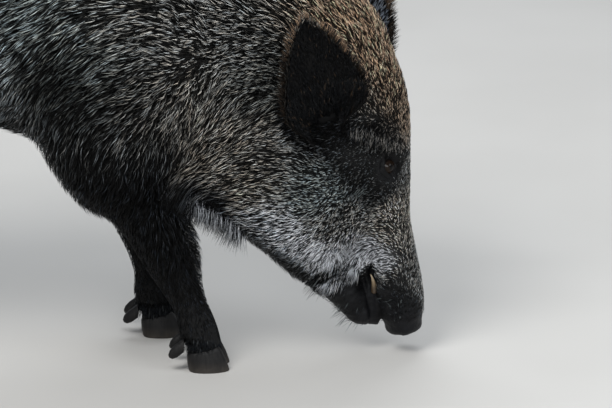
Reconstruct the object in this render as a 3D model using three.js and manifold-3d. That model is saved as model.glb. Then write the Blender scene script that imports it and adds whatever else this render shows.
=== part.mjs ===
// Wild boar, standing with its head lowered and its snout just above the ground.
// Millimetres, +X towards the snout, +Y to the animal's left, +Z up.
// Working frame: x = 0 over the right fore hoof, y = 0 on the plane of symmetry,
// z = 0 on the ground. The finished group is moved so that its origin lies at
// the centre of the bounding box's bottom face.
//
// The body is one smooth implicit form, the blend of tapered masses along
// curves, grown by the depth of the coat. It is parted into head, jaw, neck,
// trunk and leg pieces by thin planar gaps. Ears, eyes, tusks, claws and tail
// stand in sockets that fit them with the same gap.

import * as THREE from 'three';
import { mergeVertices } from 'three/addons/utils/BufferGeometryUtils.js';
import Module from 'manifold-3d';

const wasm = await Module();
wasm.setup();

// ---------------------------------------------------------------- dimensions

const GAP = 0.4;               // clear gap between neighbouring pieces
const SAMPLES_PER_STATION = 4; // straight steps between two stations of a mass

const CELL = { trunk: 50, neck: 40, head: 24.5, jaw: 24, arm: 34, thigh: 40, shank: 25, foot: 20 };

const EYE_RADIUS = 13;
const EYE_PROUD = 3.4;         // how far an eyeball stands out of the skin
const HOOF_HEIGHT = 36;         // at the toe
const CLAW_LENGTH = 56, CLAW_WIDTH = 29;
const TUSK_LENGTH = 26;

// Masses of flesh. Stations run along the path; up and down are the half sizes
// on the back and belly side of the path, side is the half width.
const MASSES = [
  // trunk
  { k: 60, path: [[-795, 0, 548], [-700, 0, 540], [-560, 0, 524], [-400, 0, 515], [-260, 0, 520], [-140, 0, 530], [-60, 0, 515]],
    up: [92, 128, 146, 153, 160, 155, 115], down: [95, 126, 156, 168, 166, 160, 128], side: [84, 120, 141, 154, 154, 138, 98] },
  // withers and the crest of the neck
  { k: 70, path: [[-460, 0, 585], [-330, 0, 603], [-190, 0, 610], [-85, 0, 592], [5, 0, 538], [85, 0, 468], [135, 0, 410]],
    up: [84, 92, 97, 95, 88, 82, 76], side: [76, 82, 84, 82, 76, 66, 60] },
  // neck
  { k: 70, path: [[-120, 0, 480], [-30, 0, 425], [48, 0, 372], [115, 0, 332], [160, 0, 310]],
    up: [170, 160, 146, 128, 104], down: [178, 172, 150, 118, 88], side: [138, 124, 102, 82, 70] },
  // throat and brisket
  { k: 60, path: [[-90, 0, 362], [-30, 0, 318], [30, 0, 277], [80, 0, 243]],
    up: [70, 66, 60, 50], down: [40, 44, 42, 36], side: [84, 82, 74, 64] },
  // skull, from the nape to the tip of the snout
  { k: 26, path: [[132, 0, 392], [168, 0, 330], [205, 0, 262], [233, 0, 192], [248, 0, 134], [255, 0, 86], [260, 0, 50]],
    up: [104, 98, 66, 37, 32, 34, 31], down: [100, 90, 72, 50, 32, 27, 24], side: [64, 67, 60, 49, 41, 38, 35] },
  // lower jaw
  { k: 16, path: [[62, 0, 236], [105, 0, 181], [150, 0, 127], [186, 0, 88], [206, 0, 60]],
    up: [60, 50, 40, 28, 17], down: [34, 28, 27, 26, 21], side: [80, 62, 44, 33, 26] },
];

// Masses that come in a left and a right copy, given for the left side.
const PAIRED = [
  // cheek
  { k: 34, path: [[100, 50, 282], [128, 57, 240], [160, 50, 190]], up: [52, 60, 40], down: [50, 52, 34], side: [38, 37, 26] },
  // cheekbone, from under the eye back to the ear
  { k: 20, path: [[232, 43, 250], [196, 56, 280], [158, 58, 312]], up: [15, 19, 20], side: [12, 16, 15] },
  // brow
  { k: 14, path: [[256, 34, 287], [236, 45, 306]], up: [14, 17], side: [11, 15] },
  // upper lip over the tusk
  { k: 12, path: [[247, 30, 122], [244, 31, 96]], up: [12, 12], side: [10, 10] },
];

// Shoulder and haunch masses; each leg of a pair has its own stance.
const LIMBS = {
  foreleg_right: { sign: -1, pieces: [
    { k: 60, path: [[-190, 92, 628], [-130, 112, 530], [-80, 116, 440]], up: [56, 78, 62], down: [56, 88, 76], side: [36, 50, 46] },
    { k: 46, path: [[-88, 112, 440], [-122, 106, 370], [-122, 98, 320], [-92, 88, 255], [-65, 80, 200], [-46, 75, 152], [-33, 72, 120], [-19, 70, 85], [-9, 70, 56], [-1, 70, 36]],
      up: [64, 60, 50, 36, 31, 29, 25, 21, 23, 21], down: [74, 72, 62, 44, 33, 30, 25, 21, 25, 22], side: [46, 44, 42, 36, 31, 29, 25, 23, 27, 26] }],
    foot: [2, 70] },
  foreleg_left: { sign: 1, pieces: [
    { k: 60, path: [[-190, 92, 628], [-140, 112, 530], [-100, 116, 440]], up: [56, 78, 62], down: [56, 88, 76], side: [36, 50, 46] },
    { k: 46, path: [[-105, 112, 440], [-142, 106, 370], [-146, 98, 320], [-124, 88, 255], [-103, 80, 200], [-88, 75, 152], [-80, 72, 120], [-75, 70, 85], [-72, 70, 56], [-66, 70, 36]],
      up: [64, 60, 50, 36, 31, 29, 25, 21, 23, 21], down: [74, 72, 62, 44, 33, 30, 25, 21, 25, 22], side: [46, 44, 42, 36, 31, 29, 25, 23, 27, 26] }],
    foot: [-63, 70] },
  hindleg_right: { sign: -1, pieces: [
    { k: 60, path: [[-785, 54, 596], [-740, 80, 520], [-692, 92, 440]], up: [70, 98, 74], down: [72, 96, 84], side: [40, 52, 46] },
    { k: 46, path: [[-706, 92, 460], [-700, 94, 400], [-738, 90, 330], [-782, 85, 270], [-804, 81, 226], [-804, 80, 170], [-800, 78, 115], [-796, 78, 84], [-790, 78, 58], [-781, 78, 36]],
      up: [84, 72, 50, 33, 25, 21, 19, 20, 24, 22], down: [84, 70, 46, 31, 28, 22, 20, 21, 25, 22], side: [54, 47, 37, 28, 23, 21, 20, 22, 26, 25] }],
    foot: [-778, 78] },
  hindleg_left: { sign: 1, pieces: [
    { k: 60, path: [[-785, 54, 596], [-732, 80, 520], [-670, 92, 440]], up: [70, 98, 74], down: [72, 96, 84], side: [40, 52, 46] },
    { k: 46, path: [[-684, 92, 460], [-666, 94, 400], [-690, 90, 330], [-722, 85, 270], [-738, 81, 226], [-734, 80, 170], [-724, 78, 115], [-717, 78, 84], [-710, 78, 58], [-701, 78, 36]],
      up: [84, 72, 50, 33, 25, 21, 19, 20, 24, 22], down: [84, 70, 46, 31, 28, 22, 20, 21, 25, 22], side: [54, 47, 37, 28, 23, 21, 20, 22, 26, 25] }],
    foot: [-698, 78] },
};

// Depth of the coat at places on the body: x, |y|, z, reach, depth.
const COAT = [
  [-400, 150, 520, 260, 27], [-700, 120, 520, 160, 25], [-160, 150, 500, 120, 30],
  [-600, 0, 700, 140, 34], [-380, 0, 700, 140, 48], [-170, 0, 715, 120, 58], [-10, 0, 640, 110, 52], [110, 0, 545, 90, 38],
  [195, 0, 470, 60, 20], [262, 0, 385, 60, 10], [280, 0, 320, 50, 6],
  [272, 20, 240, 45, 4], [262, 30, 90, 70, 3.5], [249, 50, 272, 34, 3],
  [190, 25, 60, 40, 4], [125, 30, 110, 50, 14], [60, 40, 165, 50, 24],
  [130, 95, 230, 60, 19], [50, 105, 330, 70, 26],
  [150, 75, 350, 50, 13], [-10, 60, 210, 70, 34], [-60, 120, 380, 90, 32],
  [-90, 30, 320, 70, 26], [-300, 40, 340, 130, 24], [-550, 40, 350, 140, 22],
  [-830, 60, 560, 120, 22], [-720, 140, 430, 90, 18], [-760, 100, 300, 60, 10], [-790, 85, 210, 60, 6], [-760, 78, 80, 90, 4.5],
  [-185, 100, 290, 50, 30], [-110, 115, 300, 50, 22], [-75, 85, 215, 40, 11], [-55, 78, 160, 40, 7], [-30, 72, 80, 70, 4.5],
];

// ---------------------------------------------------------- implicit surface

const lerp = (a, b, t) => a + (b - a) * t;

function makeSweep({ path, up, down = up, side, k }, sign = 1) {
  const centre = new THREE.CatmullRomCurve3(path.map(([x, y, z]) => new THREE.Vector3(x, y * sign, z)), false, 'catmullrom', 0.5);
  const size = new THREE.CatmullRomCurve3(path.map((_, i) => new THREE.Vector3(side[i], up[i], down[i])), false, 'catmullrom', 0.5);
  const n = (path.length - 1) * SAMPLES_PER_STATION;
  const knots = [];
  for (let i = 0; i <= n; i++) knots.push({ c: centre.getPoint(i / n), s: size.getPoint(i / n) });
  const across = new THREE.Vector3(0, 1, 0);
  const links = [];
  const box = new THREE.Box3();
  for (let i = 0; i < n; i++) {
    const a = knots[i], b = knots[i + 1];
    const d = b.c.clone().sub(a.c), len = d.length(), t = d.clone().divideScalar(len);
    const s = across.clone().addScaledVector(t, -across.dot(t)).normalize();
    const u = t.clone().cross(s);
    links.push({ a, b, d, len2: len * len, t, s, u });
  }
  for (const q of knots) { const r = Math.max(q.s.x, q.s.y, q.s.z); box.expandByPoint(q.c.clone().addScalar(r)); box.expandByPoint(q.c.clone().addScalar(-r)); }
  return { links, k, box };
}

function sweepDistance(sweep, x, y, z) {
  let best = Infinity;
  for (const { a, b, d, len2, t, s, u } of sweep.links) {
    const px = x - a.c.x, py = y - a.c.y, pz = z - a.c.z;
    const h = Math.min(1, Math.max(0, (px * d.x + py * d.y + pz * d.z) / len2));
    const rx = px - h * d.x, ry = py - h * d.y, rz = pz - h * d.z;
    const across = rx * s.x + ry * s.y + rz * s.z, rise = rx * u.x + ry * u.y + rz * u.z, along = rx * t.x + ry * t.y + rz * t.z;
    const halfSide = lerp(a.s.x, b.s.x, h), halfRise = rise > 0 ? lerp(a.s.y, b.s.y, h) : lerp(a.s.z, b.s.z, h);
    const halfEnd = 0.5 * (halfSide + halfRise);
    const e = Math.hypot(across / halfSide, rise / halfRise, along / halfEnd), r = Math.hypot(rx, ry, rz);
    best = Math.min(best, e < 1e-6 ? -Math.min(halfSide, halfRise) : r * (1 - 1 / e));
  }
  return best;
}

function smoothMin(a, b, k) {
  const h = Math.max(k - Math.abs(a - b), 0) / k;
  return Math.min(a, b) - h * h * k * 0.25;
}

const FLESH = [
  ...MASSES.map((m) => makeSweep(m)),
  ...PAIRED.flatMap((m) => [makeSweep(m, 1), makeSweep(m, -1)]),
  ...Object.values(LIMBS).map(({ sign, pieces }) => makeSweep(pieces[0], sign)),
  ...Object.values(LIMBS).map(({ sign, pieces }) => ({ ...makeSweep(pieces[1], sign), limb: true })),
];

// The free limbs blend into the trunk at the elbow and stifle, and hardly at
// all below. With limbFloor they fade out below that height.
const BLEND_LOW = 10, BLEND_FROM = 205, BLEND_TO = 320;
function fleshField(x, y, z, limbFloor = -Infinity) {
  let d = 400;
  for (const sweep of FLESH) {
    const { box, k } = sweep, far = Math.max(box.min.x - x, x - box.max.x, box.min.y - y, y - box.max.y, box.min.z - z, z - box.max.z);
    if (far > 90) continue;
    const blend = sweep.limb ? lerp(BLEND_LOW, k, THREE.MathUtils.smoothstep(z, BLEND_FROM, BLEND_TO)) : k;
    const fade = sweep.limb ? Math.max(0, limbFloor - z) : 0;
    d = smoothMin(d, sweepDistance(sweep, x, y, z) + fade, blend);
  }
  return d;
}

function coatDepth(x, y, z) {
  let sum = 1e-6 * 20, weight = 1e-6;
  for (const [cx, cy, cz, reach, depth] of COAT) {
    const w = Math.exp(-((x - cx) ** 2 + (Math.abs(y) - cy) ** 2 + (z - cz) ** 2) / (reach * reach));
    sum += w * depth; weight += w;
  }
  return sum / weight;
}

const bodyField = (x, y, z) => fleshField(x, y, z) - coatDepth(x, y, z);
const torsoField = (x, y, z) => fleshField(x, y, z, 330) - coatDepth(x, y, z);

function slope(field, p, step = 0.5) {
  const g = new THREE.Vector3(
    field(p.x + step, p.y, p.z) - field(p.x - step, p.y, p.z),
    field(p.x, p.y + step, p.z) - field(p.x, p.y - step, p.z),
    field(p.x, p.y, p.z + step) - field(p.x, p.y, p.z - step));
  return g.divideScalar(2 * step);
}

function settle(field, p, limit = Infinity) {
  const start = p.clone();
  for (let i = 0; i < 6; i++) {
    const g = slope(field, p), m = g.lengthSq();
    if (m < 1e-9) break;
    p.addScaledVector(g, -field(p.x, p.y, p.z) / m);
  }
  if (p.distanceTo(start) > limit) p.sub(start).setLength(limit).add(start);
  return p;
}

// Surface nets: one vertex in each cell that the surface crosses, drawn onto
// the surface, and one quad for each grid edge that it crosses.
function netSolid(field, lo, hi, cell) {
  const n = [0, 1, 2].map((i) => Math.ceil((hi[i] - lo[i]) / cell) + 1);
  const at = (i, j, k) => (k * n[1] + j) * n[0] + i;
  const place = (i, j, k) => [lo[0] + i * cell, lo[1] + j * cell, lo[2] + k * cell];
  const value = new Float64Array(n[0] * n[1] * n[2]);
  for (let k = 0; k < n[2]; k++) for (let j = 0; j < n[1]; j++) for (let i = 0; i < n[0]; i++) {
    const rim = i === 0 || j === 0 || k === 0 || i === n[0] - 1 || j === n[1] - 1 || k === n[2] - 1;
    value[at(i, j, k)] = rim ? 1 : field(...place(i, j, k));
  }
  const corner = [];
  for (let c = 0; c < 8; c++) corner.push([c & 1, (c >> 1) & 1, (c >> 2) & 1]);
  const vertexOf = new Map(), positions = [], index = [];
  for (let k = 0; k < n[2] - 1; k++) for (let j = 0; j < n[1] - 1; j++) for (let i = 0; i < n[0] - 1; i++) {
    const v = corner.map(([a, b, c]) => value[at(i + a, j + b, k + c)]);
    if (v.every((q) => q < 0) || v.every((q) => q >= 0)) continue;
    const sum = new THREE.Vector3(); let count = 0;
    for (let a = 0; a < 8; a++) for (const bit of [1, 2, 4]) {
      const b = a | bit;
      if (b === a || (v[a] < 0) === (v[b] < 0)) continue;
      const t = v[a] / (v[a] - v[b]), pa = corner[a], pb = corner[b];
      sum.add(new THREE.Vector3(lerp(pa[0], pb[0], t), lerp(pa[1], pb[1], t), lerp(pa[2], pb[2], t))); count++;
    }
    sum.divideScalar(count).multiplyScalar(cell).add(new THREE.Vector3(...place(i, j, k)));
    const inner = i > 0 && j > 0 && k > 0 && i < n[0] - 2 && j < n[1] - 2 && k < n[2] - 2;
    if (inner) settle(field, sum, 0.45 * cell);
    vertexOf.set(at(i, j, k), positions.length / 3);
    positions.push(sum.x, sum.y, sum.z);
  }
  const quad = (a, b, c, d, flip) => { if (flip) index.push(a, c, b, a, d, c); else index.push(a, b, c, a, c, d); };
  for (let k = 0; k < n[2] - 1; k++) for (let j = 0; j < n[1] - 1; j++) for (let i = 0; i < n[0] - 1; i++) {
    const v0 = value[at(i, j, k)] < 0;
    const cells = (a, b, c) => vertexOf.get(at(i - a, j - b, k - c));
    if (j && k && v0 !== value[at(i + 1, j, k)] < 0) quad(cells(0, 1, 1), cells(0, 0, 1), cells(0, 0, 0), cells(0, 1, 0), !v0);
    if (i && k && v0 !== value[at(i, j + 1, k)] < 0) quad(cells(1, 0, 1), cells(1, 0, 0), cells(0, 0, 0), cells(0, 0, 1), !v0);
    if (i && j && v0 !== value[at(i, j, k + 1)] < 0) quad(cells(1, 1, 0), cells(0, 1, 0), cells(0, 0, 0), cells(1, 0, 0), !v0);
  }
  return toSolid(positions, index);
}

// ------------------------------------------------------------- solids, meshes

function toSolid(positions, index) {
  return new wasm.Manifold(new wasm.Mesh({ numProp: 3, vertProperties: new Float32Array(positions), triVerts: new Uint32Array(index) }));
}

function fromGeometry(geometry, matrix = new THREE.Matrix4()) {
  const g = geometry.clone().applyMatrix4(matrix);
  for (const name of Object.keys(g.attributes)) if (name !== 'position') g.deleteAttribute(name);
  const m = mergeVertices(g, 1e-4);
  return toSolid(Array.from(m.attributes.position.array), Array.from(m.index.array));
}

function largest(solid) {
  const parts = solid.decompose();
  return parts.reduce((a, b) => (a.volume() > b.volume() ? a : b));
}

// A convex region: a large block trimmed by planes [nx, ny, nz, limit], which
// keep n.p <= limit, moved out by grow.
function region(planes, grow) {
  let r = fromGeometry(new THREE.BoxGeometry(3000, 1500, 2400));
  for (const [x, y, z, c] of planes) {
    const m = Math.hypot(x, y, z);
    r = r.trimByPlane([-x / m, -y / m, -z / m], -(c / m + grow));
  }
  return r;
}

// The solid with every point moved out along its normal.
function grown(solid, amount) {
  const { vertProperties, triVerts } = solid.getMesh();
  const g = new THREE.BufferGeometry();
  g.setAttribute('position', new THREE.BufferAttribute(new Float32Array(vertProperties), 3));
  g.setIndex(new THREE.BufferAttribute(new Uint32Array(triVerts), 1));
  g.computeVertexNormals();
  const normal = g.attributes.normal.array;
  return toSolid(Array.from(vertProperties, (v, i) => v + normal[i] * amount), Array.from(triVerts));
}

// A closed skin over rings of points, with a flat fan at each end. With grow,
// every point moves out along its normal, which makes the socket for the piece.
function loft(rings, grow = 0) {
  const n = rings[0].length, positions = [], index = [];
  for (const ring of rings) for (const p of ring) positions.push(...p);
  for (let r = 0; r < rings.length - 1; r++) for (let i = 0; i < n; i++) {
    const a = r * n + i, b = r * n + (i + 1) % n, c = a + n, d = b + n;
    index.push(a, b, d, a, d, c);
  }
  for (const [r, flip] of [[0, true], [rings.length - 1, false]]) {
    const c = positions.length / 3, ring = rings[r];
    const mid = [0, 1, 2].map((q) => ring.reduce((s, p) => s + p[q], 0) / n);
    positions.push(...mid);
    for (let i = 0; i < n; i++) {
      const a = r * n + i, b = r * n + (i + 1) % n;
      if (flip) index.push(c, b, a); else index.push(c, a, b);
    }
  }
  if (toSolid(positions, index).volume() < 0) for (let i = 0; i < index.length; i += 3) [index[i + 1], index[i + 2]] = [index[i + 2], index[i + 1]];
  const solid = toSolid(positions, index);
  return grow ? grown(solid, grow) : solid;
}

// Draw the ends of very short edges together, which leaves no sliver faces.
const SHORTEST_EDGE = 0.25;
function tidy(solid) {
  const { vertProperties: v, triVerts: tri } = solid.getMesh();
  const parent = Array.from({ length: v.length / 3 }, (_, i) => i);
  const root = (i) => { while (parent[i] !== i) i = parent[i]; return i; };
  for (let i = 0; i < tri.length; i += 3) for (let e = 0; e < 3; e++) {
    const a = tri[i + e], b = tri[i + (e + 1) % 3];
    if (Math.hypot(v[3 * a] - v[3 * b], v[3 * a + 1] - v[3 * b + 1], v[3 * a + 2] - v[3 * b + 2]) < SHORTEST_EDGE) parent[root(b)] = root(a);
  }
  const renumber = new Map(), positions = [], index = [];
  const use = (i) => {
    const r = root(i);
    if (!renumber.has(r)) { renumber.set(r, positions.length / 3); positions.push(v[3 * r], v[3 * r + 1], v[3 * r + 2]); }
    return renumber.get(r);
  };
  const faces = new Map();   // two faces on the same three corners cancel out
  for (let i = 0; i < tri.length; i += 3) {
    const [a, b, c] = [root(tri[i]), root(tri[i + 1]), root(tri[i + 2])];
    if (a === b || b === c || c === a) continue;
    const key = [a, b, c].sort((p, q) => p - q).join(' ');
    if (faces.has(key)) faces.delete(key); else faces.set(key, [a, b, c]);
  }
  for (const [a, b, c] of faces.values()) index.push(use(a), use(b), use(c));
  return toSolid(positions, index);
}

const nodes = new Map();
const add = (name, solid, material) => nodes.set(name, { solid, material });

const paint = (color, roughness) => ({ color, roughness, metalness: 0 });
const COATED = paint(0x3b332b, 0.85), DARK = paint(0x17130f, 0.8), HORN = paint(0x14110f, 0.5);
const SNOUT = paint(0x1c191a, 0.55), BALL = paint(0x0b0908, 0.1), IVORY = paint(0xb9a67e, 0.45);

// ------------------------------------------------------------------- regions

const headPlane = [-0.941, 0, 0.339, 45.7];      // head: in front of the plane behind the jaw and ears
const neckPlane = [-0.994, 0, 0.106, 136];       // neck: in front of the shoulders
const ahead = ([x, y, z, c]) => [x, y, z, c], behind = ([x, y, z, c]) => [-x, -y, -z, -c];
const kneeHeight = 166, armTop = 340, hockTop = 262, fetlockTop = 66;
const armPlanes = (s) => [[0, -s, 0, -30], [0, 0, 1, armTop], [0, 0, -1, -kneeHeight], [1, 0, 0, -15], [-1, 0, 0, 235]];
const shinPlanes = (s) => [[0, -s, 0, -22], [0, 0, 1, kneeHeight], [0, 0, -1, -fetlockTop], [1, 0, 0.45, 72], [-1, 0, 0, 190]];
const footPlanes = (s) => [[0, -s, 0, -22], [0, 0, 1, fetlockTop], [1, 0, 0, 60], [-1, 0, 0, 150]];
const thighPlanes = (s) => [[0, -s, 0, -24], [0.45, 0, 0.893, 70], [1, 0, 0, -590], [0, 0, -1, -hockTop]];
const shankPlanes = (s) => [[0, -s, 0, -24], [0, 0, 1, hockTop], [0, 0, -1, -fetlockTop], [1, 0, 0, -560]];
const pasternPlanes = (s) => [[0, -s, 0, -24], [0, 0, 1, fetlockTop], [1, 0, 0, -560]];
const jawPlanes = [[0.87, 0, 0.492, 262], [1, 0, 0.09, 238.5], [-0.60, 0, 0.80, 103]];
const nosePlanes = [[-0.16, 0, 1, 4]];

const within = (solid, planes) => solid.intersect(region(planes, -GAP / 2));
const without = (solid, planes) => solid.subtract(region(planes, GAP / 2));

// ------------------------------------------------------------- trunk and neck

let trunk = netSolid(bodyField, [-960, -276, 180], [30, 276, 870], CELL.trunk);
trunk = within(trunk, [behind(neckPlane)]);
let neck = netSolid(torsoField, [-170, -252, 120], [262, 252, 840], CELL.neck);
const neckRoom = grown(neck, 1);
neck = within(neck, [ahead(neckPlane), behind(headPlane)]);

// ------------------------------------------------------------------------ head

let face = netSolid(bodyField, [-80, -156, -19], [320, 156, 566], CELL.head);
const faceRoom = grown(face, 1);
face = within(face, [ahead(headPlane)]);
let jaw = netSolid(bodyField, [-40, -136, 0], [300, 136, 340], CELL.jaw);

// the slit of the mouth, open a little at the front
const slit = new THREE.Shape([new THREE.Vector2(226, 150), new THREE.Vector2(234.5, 20), new THREE.Vector2(225.5, 20)]);
const mouth = fromGeometry(new THREE.ExtrudeGeometry(slit, { depth: 240, bevelEnabled: false }),
  new THREE.Matrix4().makeRotationX(Math.PI / 2).setPosition(0, 120, 0));

jaw = largest(within(jaw, [...jawPlanes, ahead(headPlane)]).subtract(mouth));
face = largest(without(face, jawPlanes).subtract(mouth));
let nose = largest(within(face, nosePlanes));
face = largest(without(face, nosePlanes));

// nostrils
for (const s of [-1, 1]) {
  const bore = fromGeometry(new THREE.CylinderGeometry(6.5, 5, 16, 8),
    new THREE.Matrix4().makeRotationX(Math.PI / 2).setPosition(266, 13 * s, 22));
  nose = nose.subtract(bore);
}

// eyes
const eyeAt = {};
for (const [side, s] of [['right', -1], ['left', 1]]) {
  const q = settle(fleshField, new THREE.Vector3(249, 56 * s, 273));
  const out = slope(fleshField, q).normalize();
  const centre = q.clone().addScaledVector(out, EYE_PROUD - EYE_RADIUS);
  const place = new THREE.Matrix4().makeTranslation(centre.x, centre.y, centre.z);
  add(`eye_${side}`, fromGeometry(new THREE.SphereGeometry(EYE_RADIUS, 12, 7), place), BALL);
  face = face.subtract(fromGeometry(new THREE.SphereGeometry(EYE_RADIUS + 0.6, 12, 7), place));
  // an opening in the coat over each eye
  const lid = fromGeometry(new THREE.ConeGeometry(15, 22, 12),
    new THREE.Matrix4().makeRotationFromQuaternion(new THREE.Quaternion().setFromUnitVectors(new THREE.Vector3(0, -1, 0), out))
      .setPosition(centre.clone().addScaledVector(out, 13.5)));
  face = face.subtract(lid);
  eyeAt[side] = centre;
}

// ears: a scooped leaf along a bent mid line, with a fringe of hair at its rim
function ear({ base, tip, face: open, length, width, scoop, thick }, grow = 0) {
  const b = new THREE.Vector3(...base), up = new THREE.Vector3(...tip).sub(b).normalize();
  const out = new THREE.Vector3(...open); out.addScaledVector(up, -out.dot(up)).normalize();
  const across = up.clone().cross(out);
  const rows = 7, half = 4, rings = [];
  for (let r = 0; r <= rows; r++) {
    const t = r / rows, u = lerp(-0.14, 1, t);
    const w = Math.max(0.06, Math.sin(Math.PI * Math.min(1, 0.2 + 0.8 * Math.pow(Math.max(0, u + 0.14) / 1.14, 0.95))) ** 0.8 * 1.02) * width / 2;
    const h = lerp(thick[0], thick[1], t) / 2;
    const bend = -0.05 * length * Math.sin(Math.PI * Math.max(0, u));
    const ring = [];
    const point = (v, side) => {
      const rim = Math.sqrt(Math.max(0, 1 - v * v));
      const dish = scoop * (v * v - 0.35) * Math.min(1, w / (0.4 * width));
      const p = b.clone().addScaledVector(up, u * length).addScaledVector(across, v * w)
        .addScaledVector(out, dish - bend + side * h * (0.35 + 0.65 * rim));
      return [p.x, p.y, p.z];
    };
    for (let i = 0; i <= half; i++) ring.push(point(lerp(-1, 1, i / half), 1));
    for (let i = 0; i <= half; i++) ring.push(point(lerp(1, -1, i / half), -1));
    rings.push(ring);
  }
  return loft(rings, grow);
}
const EARS = {
  right: { base: [163, -84, 345], tip: [130, -136, 506], face: [0.25, -1, -0.2], length: 172, width: 106, scoop: 22, thick: [24, 9] },
  left: { base: [168, 84, 345], tip: [226, 140, 486], face: [0.6, 1, -0.2], length: 168, width: 102, scoop: 22, thick: [24, 9] },
};
for (const [side, shape] of Object.entries(EARS)) {
  add(`ear_${side}`, largest(ear(shape).subtract(faceRoom).subtract(neckRoom)), DARK);
}

// tusks: short curved cones between the lips, pointing up and out
for (const [side, s] of [['right', -1], ['left', 1]]) {
  const tusk = (grow) => {
    const rings = [];
    for (let r = 0; r <= 4; r++) {
      const t = r / 4, rad = lerp(5.2, 1.0, t ** 1.3);
      const c = new THREE.Vector3(226 - 5 * t * t, (24 + 17 * t - 3 * t * t) * s, 92 + TUSK_LENGTH * t);
      const ring = [];
      for (let i = 0; i < 6; i++) { const a = (i / 6) * 2 * Math.PI; ring.push([c.x + rad * Math.cos(a), c.y + rad * Math.sin(a), c.z]); }
      rings.push(ring);
    }
    return loft(rings, grow);
  };
  add(`tusk_${side}`, tusk(0), IVORY);
  jaw = jaw.subtract(tusk(1.6 * GAP)); face = face.subtract(tusk(1.6 * GAP));
}
jaw = largest(jaw); face = largest(face);

// ------------------------------------------------------------------------ legs

// the coronet plane, where the claws end and the hair begins: high over the toe
const CORONET_SLOPE = 0.22;
const coronet = (x, fx) => HOOF_HEIGHT - 6 + CORONET_SLOPE * (x - fx);

// a walking claw: a D-shaped sole, its wall leaning back up to the coronet
function claw({ fx, y, sign, inner }) {
  const rings = [], n = 10;
  for (const [t, scale] of [[0, 1], [0.45, 0.95], [1, 0.8]]) {
    const ring = [];
    for (let i = 0; i < n; i++) {
      const a = (i / n) * 2 * Math.PI, c = Math.cos(a), s = Math.sin(a);
      const along = c > 0 ? Math.pow(c, 0.85) : -Math.pow(-c, 0.7) * 0.92;
      const across = (s * inner > 0 ? 0.74 : 1.06) * Math.sign(s) * Math.pow(Math.abs(s), 0.85) * (1 - 0.22 * Math.max(0, c));
      const x = fx + 3 + CLAW_LENGTH / 2 * scale * along - 8 * t;
      ring.push([x, (y + CLAW_WIDTH / 2 * scale * across) * sign, t * coronet(x, fx)]);
    }
    rings.push(ring);
  }
  return loft(rings);
}

// a dew claw: a blunt cone on the flat back of the pastern, clear of the ground
const HEEL = 34;
function dewclaw({ fx, y, sign }) {
  const rings = [], n = 6;
  for (const [t, r] of [[0, 7.5], [0.55, 6.6], [1, 3.2]]) {
    const ring = [];
    for (let i = 0; i < n; i++) {
      const a = (i / n) * 2 * Math.PI;
      ring.push([fx - HEEL - GAP - 15 * t - 0.5 * t * r * Math.sin(a), (y + 1.5 * t + r * Math.cos(a)) * sign, 36 - 15 * t + 1.25 * r * Math.sin(a)]);
    }
    rings.push(ring);
  }
  return loft(rings);
}

for (const [name, { sign, foot: [fx, fy] }] of Object.entries(LIMBS)) {
  const fore = name.startsWith('fore');
  const [upper, lower, pastern] = fore ? [armPlanes, shinPlanes, footPlanes] : [thighPlanes, shankPlanes, pasternPlanes];
  const xs = fore ? [-245, 70] : [-930, -560];
  const yLo = sign < 0 ? -230 : 0, yHi = sign < 0 ? 0 : 230;
  const top = fore ? 400 : 620;
  const limb = (cell, z0, z1) => netSolid(bodyField, [xs[0], yLo, z0], [xs[1], yHi, z1], cell);

  const names = fore ? ['upper', 'shin', 'pastern'] : ['thigh', 'shank', 'pastern'];
  let a = limb(fore ? CELL.arm : CELL.thigh, 100, top);
  a = largest(within(a, [...upper(sign)]));
  let b = limb(CELL.shank, 20, fore ? 215 : 320);
  b = largest(within(b, lower(sign)));
  let c = limb(CELL.foot, -10, 100);
  c = largest(within(c, [...pastern(sign), [-1, 0, 0, HEEL - fx], [CORONET_SLOPE, 0, -1, CORONET_SLOPE * fx - HOOF_HEIGHT + 6 - GAP]]));

  for (const [which, inner] of [['inner', 1], ['outer', -1]]) {
    const y = fy - inner * 15.5;
    add(`${name}_claw_${which}`, claw({ fx, y, sign, inner }), HORN);
    add(`${name}_dewclaw_${which}`, dewclaw({ fx, y: fy - inner * 19, sign }), HORN);
  }
  add(`${name}_${names[0]}`, a, COATED);
  add(`${name}_${names[1]}`, b, DARK);
  add(`${name}_${names[2]}`, largest(c), DARK);
  trunk = without(trunk, upper(sign)); trunk = without(trunk, lower(sign));
  neck = without(neck, upper(sign)); neck = without(neck, lower(sign));
}

// ------------------------------------------------------------------------ tail

const tailLine = new THREE.CatmullRomCurve3([[-820, 616], [-868, 608], [-898, 572], [-912, 500], [-916, 420], [-912, 345], [-908, 318]]
  .map(([x, z]) => new THREE.Vector3(x, 0, z)));
function tail(grow = 0) {
  const rings = [], rows = 10;
  for (let r = 0; r <= rows; r++) {
    const t = r / rows, c = tailLine.getPoint(t), d = tailLine.getTangent(t);
    const rad = (t < 0.7 ? lerp(21, 13, t / 0.7) : lerp(13, 17, Math.sin((t - 0.7) / 0.3 * Math.PI)) * (1 - 0.55 * Math.max(0, (t - 0.85) / 0.15)));
    const up = new THREE.Vector3(0, 1, 0), out = d.clone().cross(up).normalize();
    const ring = [];
    for (let i = 0; i < 7; i++) {
      const a = (i / 7) * 2 * Math.PI;
      const p = c.clone().addScaledVector(up, Math.cos(a) * rad).addScaledVector(out, Math.sin(a) * rad);
      ring.push([p.x, p.y, p.z]);
    }
    rings.push(ring);
  }
  return loft(rings, grow);
}
add('tail', tail(), DARK);
trunk = largest(trunk.subtract(tail(1.6 * GAP)));
neck = largest(neck);

add('trunk', trunk, COATED);
add('neck', neck, COATED);
add('head', face, COATED);
add('lower_jaw', jaw, DARK);
add('nose', nose, SNOUT);

// ----------------------------------------------------------------- the group

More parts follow.
